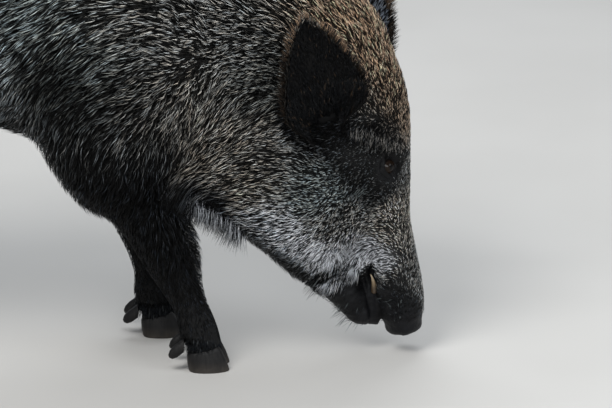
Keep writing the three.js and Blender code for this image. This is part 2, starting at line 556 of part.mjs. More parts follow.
const group = new THREE.Group();
const bounds = new THREE.Box3();
for (const [name, { solid, material }] of nodes) {
  const { vertProperties, triVerts } = tidy(solid).getMesh();
  const geometry = new THREE.BufferGeometry();
  geometry.setAttribute('position', new THREE.BufferAttribute(new Float32Array(vertProperties), 3));
  geometry.setIndex(new THREE.BufferAttribute(new Uint32Array(triVerts), 1));
  geometry.computeVertexNormals();
  geometry.computeBoundingBox();
  bounds.union(geometry.boundingBox);
  const mesh = new THREE.Mesh(geometry, new THREE.MeshStandardMaterial(material));
  mesh.name = name;
  group.add(mesh);
}
const origin = bounds.getCenter(new THREE.Vector3());
group.position.set(-origin.x, -origin.y, -bounds.min.z);

export default group;
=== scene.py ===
# Wild boar, a life-size still model: the skin, the coat of solid tufts, eyes,
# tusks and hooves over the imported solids. Lengths below are millimetres in the
# working frame of the animal (x = 0 over the right fore hoof, y = 0 on the
# plane of symmetry, z = 0 on the ground); place() turns them into the row frame.
import math

import bmesh
import bpy
import numpy as np
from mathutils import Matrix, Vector, kdtree


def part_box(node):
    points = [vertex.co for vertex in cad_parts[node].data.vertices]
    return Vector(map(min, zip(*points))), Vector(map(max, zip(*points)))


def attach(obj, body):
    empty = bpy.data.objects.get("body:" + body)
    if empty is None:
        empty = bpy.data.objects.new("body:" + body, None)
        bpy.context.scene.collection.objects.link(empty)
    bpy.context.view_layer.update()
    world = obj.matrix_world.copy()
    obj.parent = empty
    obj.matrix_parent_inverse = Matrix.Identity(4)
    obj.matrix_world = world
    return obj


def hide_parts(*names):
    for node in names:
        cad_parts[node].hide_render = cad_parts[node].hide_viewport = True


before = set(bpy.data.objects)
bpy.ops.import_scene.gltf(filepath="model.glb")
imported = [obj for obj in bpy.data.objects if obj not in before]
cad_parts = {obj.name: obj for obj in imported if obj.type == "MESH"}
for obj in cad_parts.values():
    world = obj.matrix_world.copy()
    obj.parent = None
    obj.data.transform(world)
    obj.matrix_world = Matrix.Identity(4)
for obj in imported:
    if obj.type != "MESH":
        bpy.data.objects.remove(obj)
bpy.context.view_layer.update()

rng = np.random.default_rng(20)
F = np.float32

# ------------------------------------------------------------------ placement

claw_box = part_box("foreleg_right_claw_outer")
eye_boxes = [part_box("eye_right"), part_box("eye_left")]
SHIFT = np.array([
    claw_box[1][0] * 1000.0 - 33.0,
    sum((b[0][1] + b[1][1]) * 250.0 for b in eye_boxes),
    0.0,
])


def place(p):
    """Working millimetres to metres in the row frame."""
    return (np.asarray(p, dtype=np.float64) + SHIFT) * 0.001


def unit(v):
    v = np.asarray(v, dtype=np.float64)
    return v / np.maximum(np.linalg.norm(v, axis=-1, keepdims=True), 1e-9)


def smoothstep(x, a, b):
    t = np.clip((x - a) / (b - a), 0.0, 1.0)
    return t * t * (3.0 - 2.0 * t)


# ------------------------------------------------------------------ the flesh
# Masses along curves: up and down are the half sizes on the back and belly side
# of the path, side is the half width, k how widely it blends with the others.
MASSES = [
  # trunk
  { "k": 60, "path": [[-795, 0, 548], [-700, 0, 540], [-560, 0, 524], [-400, 0, 515], [-260, 0, 520], [-140, 0, 530], [-60, 0, 515]],
    "up": [92, 128, 146, 153, 160, 155, 115], "down": [95, 126, 156, 168, 166, 160, 128], "side": [84, 120, 141, 154, 154, 138, 98] },
  # withers and the crest of the neck
  { "k": 70, "path": [[-460, 0, 585], [-330, 0, 603], [-190, 0, 610], [-85, 0, 592], [5, 0, 538], [85, 0, 468], [135, 0, 410]],
    "up": [84, 92, 97, 95, 88, 82, 76], "side": [76, 82, 84, 82, 76, 66, 60] },
  # neck
  { "k": 70, "path": [[-120, 0, 480], [-30, 0, 425], [48, 0, 372], [115, 0, 332], [160, 0, 310]],
    "up": [170, 160, 146, 128, 104], "down": [178, 172, 150, 118, 88], "side": [138, 124, 102, 82, 70] },
  # throat and brisket
  { "k": 60, "path": [[-90, 0, 362], [-30, 0, 318], [30, 0, 277], [80, 0, 243]],
    "up": [70, 66, 60, 50], "down": [40, 44, 42, 36], "side": [84, 82, 74, 64] },
  # skull, from the nape to the tip of the snout
  { "k": 26, "path": [[132, 0, 392], [168, 0, 330], [205, 0, 262], [233, 0, 192], [248, 0, 134], [255, 0, 86], [260, 0, 50]],
    "up": [104, 98, 66, 37, 32, 34, 31], "down": [100, 90, 72, 50, 32, 27, 24], "side": [64, 67, 60, 49, 41, 38, 35] },
  # lower jaw
  { "k": 16, "path": [[62, 0, 236], [105, 0, 181], [150, 0, 127], [186, 0, 88], [206, 0, 60]],
    "up": [60, 50, 40, 28, 17], "down": [34, 28, 27, 26, 21], "side": [80, 62, 44, 33, 26] },
]
PAIRED = [
  # cheek
  { "k": 34, "path": [[100, 50, 282], [128, 57, 240], [160, 50, 190]], "up": [52, 60, 40], "down": [50, 52, 34], "side": [38, 37, 26] },
  # cheekbone, from under the eye back to the ear
  { "k": 20, "path": [[232, 43, 250], [196, 56, 280], [158, 58, 312]], "up": [15, 19, 20], "side": [12, 16, 15] },
  # brow
  { "k": 14, "path": [[256, 34, 287], [236, 45, 306]], "up": [14, 17], "side": [11, 15] },
  # upper lip over the tusk
  { "k": 12, "path": [[247, 30, 122], [244, 31, 96]], "up": [12, 12], "side": [10, 10] },
]
LIMBS = {
  "foreleg_right": { "sign": -1, "pieces": [
    { "k": 60, "path": [[-190, 92, 628], [-130, 112, 530], [-80, 116, 440]], "up": [56, 78, 62], "down": [56, 88, 76], "side": [36, 50, 46] },
    { "k": 46, "path": [[-88, 112, 440], [-122, 106, 370], [-122, 98, 320], [-92, 88, 255], [-65, 80, 200], [-46, 75, 152], [-33, 72, 120], [-19, 70, 85], [-9, 70, 56], [-1, 70, 36]],
      "up": [64, 60, 50, 36, 31, 29, 25, 21, 23, 21], "down": [74, 72, 62, 44, 33, 30, 25, 21, 25, 22], "side": [46, 44, 42, 36, 31, 29, 25, 23, 27, 26] }],
    "foot": [2, 70] },
  "foreleg_left": { "sign": 1, "pieces": [
    { "k": 60, "path": [[-190, 92, 628], [-140, 112, 530], [-100, 116, 440]], "up": [56, 78, 62], "down": [56, 88, 76], "side": [36, 50, 46] },
    { "k": 46, "path": [[-105, 112, 440], [-142, 106, 370], [-146, 98, 320], [-124, 88, 255], [-103, 80, 200], [-88, 75, 152], [-80, 72, 120], [-75, 70, 85], [-72, 70, 56], [-66, 70, 36]],
      "up": [64, 60, 50, 36, 31, 29, 25, 21, 23, 21], "down": [74, 72, 62, 44, 33, 30, 25, 21, 25, 22], "side": [46, 44, 42, 36, 31, 29, 25, 23, 27, 26] }],
    "foot": [-63, 70] },
  "hindleg_right": { "sign": -1, "pieces": [
    { "k": 60, "path": [[-785, 54, 596], [-740, 80, 520], [-692, 92, 440]], "up": [70, 98, 74], "down": [72, 96, 84], "side": [40, 52, 46] },
    { "k": 46, "path": [[-706, 92, 460], [-700, 94, 400], [-738, 90, 330], [-782, 85, 270], [-804, 81, 226], [-804, 80, 170], [-800, 78, 115], [-796, 78, 84], [-790, 78, 58], [-781, 78, 36]],
      "up": [84, 72, 50, 33, 25, 21, 19, 20, 24, 22], "down": [84, 70, 46, 31, 28, 22, 20, 21, 25, 22], "side": [54, 47, 37, 28, 23, 21, 20, 22, 26, 25] }],
    "foot": [-778, 78] },
  "hindleg_left": { "sign": 1, "pieces": [
    { "k": 60, "path": [[-785, 54, 596], [-732, 80, 520], [-670, 92, 440]], "up": [70, 98, 74], "down": [72, 96, 84], "side": [40, 52, 46] },
    { "k": 46, "path": [[-684, 92, 460], [-666, 94, 400], [-690, 90, 330], [-722, 85, 270], [-738, 81, 226], [-734, 80, 170], [-724, 78, 115], [-717, 78, 84], [-710, 78, 58], [-701, 78, 36]],
      "up": [84, 72, 50, 33, 25, 21, 19, 20, 24, 22], "down": [84, 70, 46, 31, 28, 22, 20, 21, 25, 22], "side": [54, 47, 37, 28, 23, 21, 20, 22, 26, 25] }],
    "foot": [-698, 78] },
}
COAT = [
  [-400, 150, 520, 260, 27], [-700, 120, 520, 160, 25], [-160, 150, 500, 120, 30],
  [-600, 0, 700, 140, 34], [-380, 0, 700, 140, 48], [-170, 0, 715, 120, 58], [-10, 0, 640, 110, 52], [110, 0, 545, 90, 38],
  [195, 0, 470, 60, 20], [262, 0, 385, 60, 10], [280, 0, 320, 50, 6],
  [272, 20, 240, 45, 4], [262, 30, 90, 70, 3.5], [249, 50, 272, 34, 3],
  [190, 25, 60, 40, 4], [125, 30, 110, 50, 14], [60, 40, 165, 50, 24],
  [130, 95, 230, 60, 19], [50, 105, 330, 70, 26],
  [150, 75, 350, 50, 13], [-10, 60, 210, 70, 34], [-60, 120, 380, 90, 32],
  [-90, 30, 320, 70, 26], [-300, 40, 340, 130, 24], [-550, 40, 350, 140, 22],
  [-830, 60, 560, 120, 22], [-720, 140, 430, 90, 18], [-760, 100, 300, 60, 10], [-790, 85, 210, 60, 6], [-760, 78, 80, 90, 4.5],
  [-185, 100, 290, 50, 30], [-110, 115, 300, 50, 22], [-75, 85, 215, 40, 11], [-55, 78, 160, 40, 7], [-30, 72, 80, 70, 4.5],
]

EYE_RADIUS = 13.0
EYE_PROUD = 3.4
HOOF_HEIGHT = 36.0
CLAW_LENGTH, CLAW_WIDTH = 56.0, 29.0
TUSK_LENGTH = 26.0


def catmull(points, per):
    """Points along a Catmull-Rom curve, per steps between two stations."""
    p = np.asarray(points, dtype=np.float64)
    p = np.vstack([2 * p[0] - p[1], p, 2 * p[-1] - p[-2]])
    n = (len(p) - 3) * per
    out = []
    for i in range(n + 1):
        s = i / per
        k = min(int(s), len(p) - 4)
        w = s - k
        a, b, c, d = p[k], p[k + 1], p[k + 2], p[k + 3]
        t0, t1 = 0.5 * (c - a), 0.5 * (d - b)
        out.append(b + t0 * w + (-3 * b + 3 * c - 2 * t0 - t1) * w * w + (2 * b - 2 * c + t0 + t1) * w ** 3)
    return np.array(out)


def make_sweep(m, sign=1, limb=False):
    path = np.array(m["path"], dtype=np.float64)
    path[:, 1] *= sign
    up = m["up"]
    size = np.array([m["side"], up, m.get("down", up)], dtype=np.float64).T
    c, s = catmull(path, 4), catmull(size, 4)
    reach = s.max(axis=1)[:, None]
    return {"c": c, "s": s, "k": m["k"], "limb": limb, "lo": (c - reach).min(0), "hi": (c + reach).max(0)}


def sweep_distance(sw, x, y, z):
    best = np.full(x.shape, 1e6, dtype=F)
    c, s = sw["c"], sw["s"]
    for i in range(len(c) - 1):
        a, d = c[i], c[i + 1] - c[i]
        ln = np.linalg.norm(d)
        t = d / ln
        sd = np.array([0.0, 1.0, 0.0]) - t * t[1]
        sd /= np.linalg.norm(sd)
        u = np.cross(t, sd)
        a, d, t, sd, u = (v.astype(F) for v in (a, d, t, sd, u))
        px, py, pz = x - a[0], y - a[1], z - a[2]
        h = np.clip((px * d[0] + py * d[1] + pz * d[2]) * F(1.0 / (ln * ln)), 0, 1)
        px -= h * d[0]
        py -= h * d[1]
        pz -= h * d[2]
        across = px * sd[0] + py * sd[1] + pz * sd[2]
        rise = px * u[0] + py * u[1] + pz * u[2]
        along = px * t[0] + py * t[1] + pz * t[2]
        hs = F(s[i, 0]) + h * F(s[i + 1, 0] - s[i, 0])
        hr = np.where(rise > 0, F(s[i, 1]) + h * F(s[i + 1, 1] - s[i, 1]), F(s[i, 2]) + h * F(s[i + 1, 2] - s[i, 2]))
        he = F(0.5) * (hs + hr)
        e = np.sqrt((across / hs) ** 2 + (rise / hr) ** 2 + (along / he) ** 2)
        r = np.sqrt(px * px + py * py + pz * pz)
        np.minimum(best, r * (1 - 1 / np.maximum(e, F(1e-5))), out=best)
    return best


FLESH = (
    [make_sweep(m) for m in MASSES]
    + [make_sweep(m, s) for m in PAIRED for s in (1, -1)]
    + [make_sweep(v["pieces"][0], v["sign"]) for v in LIMBS.values()]
    + [make_sweep(v["pieces"][1], v["sign"], True) for v in LIMBS.values()]
)


def flesh_field(p):
    """Roughly the distance to the flesh, negative inside."""
    p = np.asarray(p, dtype=F)
    x, y, z = p[:, 0], p[:, 1], p[:, 2]
    d = np.full(len(p), 400, dtype=F)
    for sw in FLESH:
        lo, hi = sw["lo"] - 90, sw["hi"] + 90
        m = np.nonzero((x > lo[0]) & (x < hi[0]) & (y > lo[1]) & (y < hi[1]) & (z > lo[2]) & (z < hi[2]))[0]
        if not len(m):
            continue
        xm, ym, zm = x[m], y[m], z[m]
        b = sweep_distance(sw, xm, ym, zm)
        k = sw["k"]
        if sw["limb"]:
            k = 10 + (k - 10) * smoothstep(zm, 205, 320)
        a = d[m]
        h = np.maximum(k - np.abs(a - b), 0) / k
        d[m] = np.minimum(a, b) - h * h * k * 0.25
    return d


def blend_tables(p, rows, mirror=True):
    """Gaussian blend of rows [x, |y|, z, reach, values...] at the points p."""
    p = np.asarray(p, dtype=F)
    rows = np.asarray(rows, dtype=F)
    y = np.abs(p[:, 1]) if mirror else p[:, 1]
    total = np.full(len(p), 1e-9, dtype=np.float64)
    out = np.zeros((len(p), rows.shape[1] - 4))
    for r in rows:
        d2 = (p[:, 0] - r[0]) ** 2 + (y - r[1]) ** 2 + (p[:, 2] - r[2]) ** 2
        w = np.exp(-d2 / (r[3] * r[3])).astype(np.float64) + 1e-7 / (1 + d2 / 1e4)
        total += w
        out += w[:, None] * r[4:]
    return out / total[:, None]


def coat_depth(p):
    return blend_tables(p, COAT)[:, 0]


def blend_tones(p, rows):
    """Rows [x, |y|, z, reach, r, g, b, share, root]; a small place outweighs a wide one, and dark tones hold against light ones."""
    p = np.asarray(p, dtype=F)
    rows = np.asarray(rows, dtype=F)
    y = np.abs(p[:, 1])
    total = np.full(len(p), 1e-9, dtype=np.float64)
    out = np.zeros((len(p), rows.shape[1] - 4))
    for r in rows:
        d2 = (p[:, 0] - r[0]) ** 2 + (y - r[1]) ** 2 + (p[:, 2] - r[2]) ** 2
        w = (np.exp(-d2 / (r[3] * r[3])) * (50.0 / r[3]) ** 1.2).astype(np.float64) + 1e-7 / (1 + d2 / 1e4)
        total += w
        out += w[:, None] * np.concatenate([np.log(r[4:7]), r[7:]])
    out /= total[:, None]
    out[:, :3] = np.exp(out[:, :3])
    return out


# smooth value noise in space, the same on every run
def hash3(i, j, k, seed):
    with np.errstate(over="ignore"):
        n = (i.astype(np.int64) * 374761393 + j.astype(np.int64) * 668265263 + k.astype(np.int64) * 2147483647 + seed * 974634777)
        n = (n ^ (n >> 13)) * 1274126177
        n = n ^ (n >> 16)
    return ((n & 0xFFFFFF) / float(0xFFFFFF)) * 2 - 1


def noise3(p, size, seed=0):
    q = np.asarray(p, dtype=np.float64) / size
    i = np.floor(q).astype(np.int64)
    f = q - i
    f = f * f * (3 - 2 * f)
    out = 0
    for a in (0, 1):
        for b in (0, 1):
            for c in (0, 1):
                w = (f[:, 0] if a else 1 - f[:, 0]) * (f[:, 1] if b else 1 - f[:, 1]) * (f[:, 2] if c else 1 - f[:, 2])
                out = out + w * hash3(i[:, 0] + a, i[:, 1] + b, i[:, 2] + c, seed)
    return out


# ------------------------------------------------------------------ eye places

def slope(field, p, step=1.0):
    p = np.asarray(p, dtype=np.float64)
    q = np.concatenate([p + [step, 0, 0], p + [0, step, 0], p + [0, 0, step], p - [step, 0, 0], p - [0, step, 0], p - [0, 0, step]])
    v = field(q).reshape(6, -1).astype(np.float64)
    return (v[:3] - v[3:]).T / (2 * step)


def settle(field, p, rounds=3, step=1.0, longest=6.0):
    p = np.array(p, dtype=np.float64)
    for _ in range(rounds):
        g = slope(field, p, step)
        m = np.maximum((g * g).sum(1), 0.05)
        d = g * (-(field(p).astype(np.float64)) / m)[:, None]
        size = np.linalg.norm(d, axis=1, keepdims=True)
        p += d * np.minimum(1, longest / np.maximum(size, 1e-9))
    return p


EYES = {}
for side, sg in (("right", -1), ("left", 1)):
    q = settle(flesh_field, [[249.0, 56.0 * sg, 273.0]], 6)
    out = unit(slope(flesh_field, q))[0]
    centre = q[0] + out * (EYE_PROUD - EYE_RADIUS)
    ax = np.array([0.37, 0.0, -0.93])           # along the head, towards the snout
    ax = unit(ax - out * ax.dot(out))
    EYES[side] = {"c": centre, "out": out, "ax": ax, "up": np.cross(ax, out) * sg}
EYE_C = np.array([EYES["right"]["c"], EYES["left"]["c"]])


# ------------------------------------------------------------------ skin shape

NOSE_AXIS = unit([0.137, 0.0, -0.99])
MOUTH_X = [224.5, 223.5, 223.0, 222.0]


def smooth_max(a, b, k):
    h = np.maximum(k - np.abs(a - b), 0) / k
    return np.maximum(a, b) + h * h * k * 0.25


def groove(d, width):
    return np.exp(-(d / width) ** 2)


def lip_fill(f, x, y, z):
    """The cheek and lip close over the corner of the mouth."""
    lip = np.sqrt(((x - 207) / 23) ** 2 + (y / 36) ** 2 + ((z - 140) / 36) ** 2)
    return -smooth_max(-f, -(lip - 1) * 22, 9)


def skin_field(p):
    """The flesh with the muzzle, lips, nostrils and cleft feet cut into it."""
    p = np.asarray(p, dtype=np.float64)
    f = flesh_field(p).astype(np.float64)
    x, y, z = p[:, 0], p[:, 1], p[:, 2]
    ay = np.abs(y)
    m = (x > 120) & (z < 190)
    if m.any():
        X, Y, Z, A = x[m], y[m], z[m], ay[m]
        g = f[m]
        # the pad: flared rim, flat end, and a shallow channel between the nostrils
        t = (X - 262) * NOSE_AXIS[0] + (Z - 24) * NOSE_AXIS[2]      # 0 on the flat end, less above
        ahead = smoothstep(X, 224, 236)
        g = g - 1.6 * groove(t + 6, 6) * ahead + 1.3 * groove(t + 18, 6) * ahead
        g = smooth_max(g, np.where(X > 226, t, -1e3), 5)
        g = g + 9 * groove(np.hypot((X - 267) / 7.5, (A - 13) / 6.0), 1) * smoothstep(Z, 52, 36)
        g = g + 1.5 * groove(Y, 3) * smoothstep(Z, 46, 30) * ahead
        # the slit of the mouth between rolled lips, closed inside by the gums
        line = X - np.interp(Z, [20, 60, 110, 150], MOUTH_X)
        gums = np.sqrt(((X - 224) / 13) ** 2 + (Y / 19) ** 2 + ((Z - 82) / 46) ** 2)
        g = np.minimum(g, (gums - 1) * 14)
        g = lip_fill(g, X, Y, Z)
        g = g + (6.5 * smoothstep(Z, 146, 112) * smoothstep(A, 14, 24)) * groove(line, 2.6 + 1.6 * smoothstep(Z, 100, 40))
        g = g - 2.2 * groove(line - 8, 4.5) * smoothstep(Z, 145, 110) - 1.6 * groove(line + 8, 4.5) * smoothstep(Z, 140, 100)
        # a fold from the corner of the mouth up the cheek
        g = g + 1.6 * groove(X - 205 + 0.25 * (Z - 160), 4) * smoothstep(Z, 118, 140) * smoothstep(Z, 188, 165) * smoothstep(A, 15, 30)
        f[m] = g
    for v in LIMBS.values():
        fx, fy = v["foot"]
        fy *= v["sign"]
        m = (np.abs(x - fx) < 70) & (np.abs(y - fy) < 60) & (z < 90)
        if m.any():
            cleft = groove(y[m] - fy, 4.5) * smoothstep(z[m], 62, 40) * smoothstep(np.abs(x[m] - fx + 6), 2, 14)
            f[m] = smooth_max(f[m] + 9 * cleft, 21 - z[m], 4)
    return f


def folds(p, n):
    """Fine relief along the normal: wrinkles, folds and lumps."""
    d = 0.9 * noise3(p, 42, 3) + 0.5 * noise3(p, 17, 4)
    face = smoothstep(p[:, 0], 130, 175)
    # wrinkles ring the eyes
    for e in EYES.values():
        r = p - e["c"]
        a, b = r @ e["ax"], r @ e["up"]
        rr = np.hypot(a / 1.15, b) + 1.6 * noise3(p, 11, 5)
        near = smoothstep(rr, 46, 24) * smoothstep(rr, 13, 17)
        side = 0.55 + 0.45 * np.sin(np.arctan2(b, a) * 1.0 - 1.9)
        d += near * side * 1.1 * np.sin((rr - 17) * 2 * math.pi / 6.4)
    # folds across the snout and the cheek below the eye
    s = (p - [233, 0, 192]) @ NOSE_AXIS
    low = smoothstep(p[:, 2], 262, 225) * smoothstep(p[:, 2], 30, 60) * face
    d += low * 0.75 * np.sin(s * 2 * math.pi / 10.5 + 2.2 * noise3(p, 24, 6)) * (0.4 + 0.6 * np.clip(noise3(p, 30, 7), 0, 1))
    # pebbled pad
    pad = smoothstep(p[:, 2], 56, 44) * smoothstep(p[:, 0], 225, 236)
    d += pad * 0.45 * noise3(p, 3.6, 8)
    return d


def net_mesh(lo, hi, cell):
    """A closed net of quads over the zero surface of skin_field."""
    n = [int(math.ceil((hi[i] - lo[i]) / cell)) + 1 for i in range(3)]
    ax = [lo[i] + cell * np.arange(n[i]) for i in range(3)]
    X, Y, Z = np.meshgrid(*ax, indexing="ij")
    pts = np.stack([X.ravel(), Y.ravel(), Z.ravel()], 1)
    raw = flesh_field(pts)
    val = raw.astype(np.float64)
    near = np.nonzero(np.abs(raw) < 40)[0]
    val[near] = skin_field(pts[near])
    V = val.reshape(n)
    neg = V < 0
    cells = tuple(k - 1 for k in n)
    corners = [(a, b, c) for a in (0, 1) for b in (0, 1) for c in (0, 1)]

    def sub(arr, a, b, c):
        return arr[a:a + cells[0], b:b + cells[1], c:c + cells[2]]

    count = sum(sub(neg, *c).astype(np.int8) for c in corners)
    act = (count > 0) & (count < 8)
    idx = np.full(cells, -1, dtype=np.int64)
    I = np.argwhere(act)
    idx[act] = np.arange(len(I))
    sums, num = np.zeros((len(I), 3)), np.zeros(len(I))
    cv = {c: sub(V, *c)[act] for c in corners}
    for a in corners:
        for axis in range(3):
            if a[axis]:
                continue
            b = tuple(v + (1 if i == axis else 0) for i, v in enumerate(a))
            va, vb = cv[a], cv[b]
            cross = (va < 0) != (vb < 0)
            t = np.where(cross, va / np.where(cross, va - vb, 1), 0)
            pos = np.tile(np.array(a, dtype=np.float64), (len(I), 1))
            pos[:, axis] += t
            sums += pos * cross[:, None]
            num += cross
    verts = np.array(lo) + cell * (I + sums / num[:, None])
    quads = []
    for axis in range(3):
        a1, a2 = (axis + 1) % 3, (axis + 2) % 3
        s0 = [slice(1, n[i] - 1) for i in range(3)]
        s0[axis] = slice(0, n[axis] - 1)
        s1 = list(s0)
        s1[axis] = slice(1, n[axis])
        v0, v1 = neg[tuple(s0)], neg[tuple(s1)]
        base = np.argwhere(v0 != v1)
        flip = v0[tuple(base.T)]
        base = base + np.array([1 if i != axis else 0 for i in range(3)])

        def at(d1, d2):
            q = base.copy()
            q[:, a1] -= d1
            q[:, a2] -= d2
            return idx[tuple(q.T)]

        q = np.stack([at(0, 0), at(1, 0), at(1, 1), at(0, 1)], 1)
        q[~flip] = q[~flip][:, ::-1]
        quads.append(q)
    return verts, np.concatenate(quads), pts, raw, n


GRID_LO, GRID_CELL = np.array([-960.0, -236.0, -24.0]), 8.0
verts, quads, grid_pts, grid_raw, GRID_N = net_mesh(GRID_LO, (336.0, 236.0, 760.0), GRID_CELL)
GRID = lip_fill(grid_raw.astype(np.float64), *grid_pts.T).reshape(GRID_N)
del grid_pts


def height(p):
    """Height over the flesh from the grid, quick to read."""
    q = (np.asarray(p, dtype=np.float64) - GRID_LO) / GRID_CELL
    q = np.clip(q, 0, np.array(GRID_N) - 1.001)
    i = q.astype(np.int64)
    f = q - i
    out = 0
    for a in (0, 1):
        for b in (0, 1):
            for c in (0, 1):
                w = (f[:, 0] if a else 1 - f[:, 0]) * (f[:, 1] if b else 1 - f[:, 1]) * (f[:, 2] if c else 1 - f[:, 2])
                out = out + w * GRID[i[:, 0] + a, i[:, 1] + b, i[:, 2] + c]
    return out


def mesh_from(name, v, faces=None, tris=None):
    me = bpy.data.meshes.new(name)
    if tris is not None:
        me.vertices.add(len(v))
        me.vertices.foreach_set("co", np.ascontiguousarray(v, dtype=F).ravel())
        me.loops.add(len(tris) * 3)
        me.polygons.add(len(tris))
        me.loops.foreach_set("vertex_index", np.ascontiguousarray(tris, dtype=np.int32).ravel())
        me.polygons.foreach_set("loop_start", np.arange(0, len(tris) * 3, 3, dtype=np.int32))
        me.polygons.foreach_set("use_smooth", np.ones(len(tris), dtype=bool))
        me.update(calc_edges=True)
        me.validate()
    else:
        me.from_pydata([tuple(map(float, p)) for p in v], [], [tuple(map(int, f)) for f in faces])
        me.polygons.foreach_set("use_smooth", np.ones(len(me.polygons), dtype=bool))
        me.update()
    return me


def co_of(bm):
    return np.array([v.co[:] for v in bm.verts])


def refine(bm, wanted, rounds=2, step=1.0):
    """Splits every face whose corners all satisfy wanted, and lays all the new vertices on the skin."""
    bm.verts.ensure_lookup_table()
    c = co_of(bm)
    keep = wanted(c)
    old = len(bm.verts)
    edges = [e for e in bm.edges if keep[e.verts[0].index] and keep[e.verts[1].index]]
    bmesh.ops.subdivide_edges(bm, edges=edges, cuts=1, use_grid_fill=True)
    bm.verts.index_update()
    c = co_of(bm)
    w = wanted(c)
    fresh = np.nonzero(w | (np.arange(len(c)) >= old))[0]
    c[fresh] = settle(skin_field, c[fresh], rounds, step, 3.0)
    for i, v in enumerate(bm.verts):
        v.co = c[i]
    return bm


verts = settle(skin_field, verts, 2, 1.5)
bm = bmesh.new()
base_me = mesh_from("net", verts, quads)
bm.from_mesh(base_me)
bpy.data.meshes.remove(base_me)


def head_or_feet(c):
    x, y, z = c.T
    return (x - 0.36 * z > 20) & (x > 60) | (z < 200)


def muzzle_or_eyes(c):
    x, y, z = c.T
    eye = np.minimum(np.linalg.norm(c - EYE_C[0], axis=1), np.linalg.norm(c - EYE_C[1], axis=1)) < 48
    return eye | ((x > 160) & (z < 150))


def lids(c):
    return np.minimum(np.linalg.norm(c - EYE_C[0], axis=1), np.linalg.norm(c - EYE_C[1], axis=1)) < 25


refine(bm, head_or_feet)
refine(bm, muzzle_or_eyes, 2, 0.7)
refine(bm, lids, 1, 0.7)
c = co_of(bm)
n = unit(slope(skin_field, c, 0.8))
c += n * folds(c, n)[:, None]


def shape_lids(c):
    """The skin round each eye rises into lids over the ball and opens in an almond."""
    for sg, e in zip((-1, 1), EYES.values()):
        r = c - e["c"]
        dist = np.linalg.norm(r, axis=1)
        m = np.nonzero(dist < 34)[0]
        d = r[m] / np.maximum(dist[m][:, None], 1e-6)
        o, a, b = d @ e["out"], d @ e["ax"], d @ e["up"]
        front = o > 0.1
        ang_a, ang_b = np.arctan2(a, np.maximum(o, 0.05)), np.arctan2(b, np.maximum(o, 0.05))
        # almond: longer along the head, the upper lid higher in the middle
        half = np.where(ang_b > 0, 0.78, 0.64) * np.maximum(1 - (ang_a / 1.04) ** 2, 0.0) ** 0.6 + 1e-3
        inside = ang_b * 0 + (np.abs(ang_b) / half)
        over = np.where(np.abs(ang_a) < 1.04, inside, 9.0)
        lid = 15.2 + 0.7 * groove((over - 1.2), 0.35)
        rise = smooth_max(dist[m], np.where(front, lid - 9 * np.clip(np.hypot(ang_a / 1.1, ang_b) - 0.90, 0, 1), 0), 2.5)
        opened = smoothstep(over, 1.10, 0.90)
        rr = rise * (1 - opened) + 10.6 * opened
        # the crease above the upper lid and the bag under the lower one
        crease = 1.5 * groove(np.hypot(ang_a / 1.25, ang_b) - 1.12, 0.10) * smoothstep(np.abs(b), 0.1, 0.4)
        rr = np.where(front, rr - crease, dist[m])
        c[m] = e["c"] + d * rr[:, None]
    return c


c = shape_lids(c)
for i, v in enumerate(bm.verts):
    v.co = c[i]
bmesh.ops.triangulate(bm, faces=bm.faces[:])
bmesh.ops.recalc_face_normals(bm, faces=bm.faces[:])
bm.verts.index_update()
body_v = co_of(bm)
body_t = np.array([[v.index for v in f.verts] for f in bm.faces], dtype=np.int64)
bm.free()
print("skin", len(body_v), len(body_t))

# ------------------------------------------------------------------ ears

EARS = {
    "right": {"base": [163, -84, 345], "tip": [130, -136, 506], "face": [0.25, -1, -0.2], "length": 172, "width": 106, "scoop": 22},
    "left": {"base": [168, 84, 345], "tip": [226, 140, 486], "face": [0.6, 1, -0.2], "length": 168, "width": 102, "scoop": 22},
}


def ear_frame(e):
    b = np.array(e["base"], dtype=float)
    up = unit(np.array(e["tip"], dtype=float) - b)
    out = np.array(e["face"], dtype=float)
    out = unit(out - up * out.dot(up))
    return b, up, out, np.cross(up, out)


def ear_half(e, u, slim=0.97):
    return np.maximum(0.04, np.sin(math.pi * np.minimum(1, 0.2 + 0.8 * (np.clip(u + 0.14, 0, 1.14) / 1.14) ** 0.95)) ** 0.8 * 1.02) * e["width"] / 2 * slim


def ear_point(e, u, v, side, slim=0.97, thick=(13.0, 3.6)):
    """u runs from the root to the tip, v across from rim to rim, side is 1 inside and -1 on the back."""
    b, up, out, across = ear_frame(e)
    u, v = np.asarray(u, dtype=float), np.asarray(v, dtype=float)
    L = e["length"] * 0.94
    w = ear_half(e, u, slim)
    h = (thick[0] + (thick[1] - thick[0]) * np.clip((u + 0.14) / 0.8, 0, 1)) / 2
    bend = -0.05 * e["length"] * np.sin(math.pi * np.maximum(0, u))
    rim = np.sqrt(np.maximum(0, 1 - v * v))
    dish = e["scoop"] * (v * v - 0.35) * np.minimum(1, w / (0.4 * e["width"]))
    # the rims roll in near the root, and the inner face is ribbed
    curl = 9.0 * np.clip(np.abs(v) - 0.6, 0, 1) ** 2 * 6 * smoothstep(u, 0.75, 0.2)
    ribs = np.where(side > 0, 1.1 * np.sin(v * 9.0 + 2 * u) * rim * smoothstep(u, 0.95, 0.5), 0.0)
    fold = 3.0 * np.sin(u * 6.0 + 1.3) * v
    lift = dish - bend + side * h * (0.3 + 0.7 * rim) + curl + ribs + fold * 0.35
    # the front rim narrows at the root and sinks into the coat of the head
    root = smoothstep(-u, -0.24, 0.08)
    lift = lift - root * (13 * np.clip(v, 0, 1) + 5)
    run = v * w * (1 - root * np.where(v > 0, 0.58, 0.20))
    return b + up * (u * L)[..., None] + across * run[..., None] + out * lift[..., None]


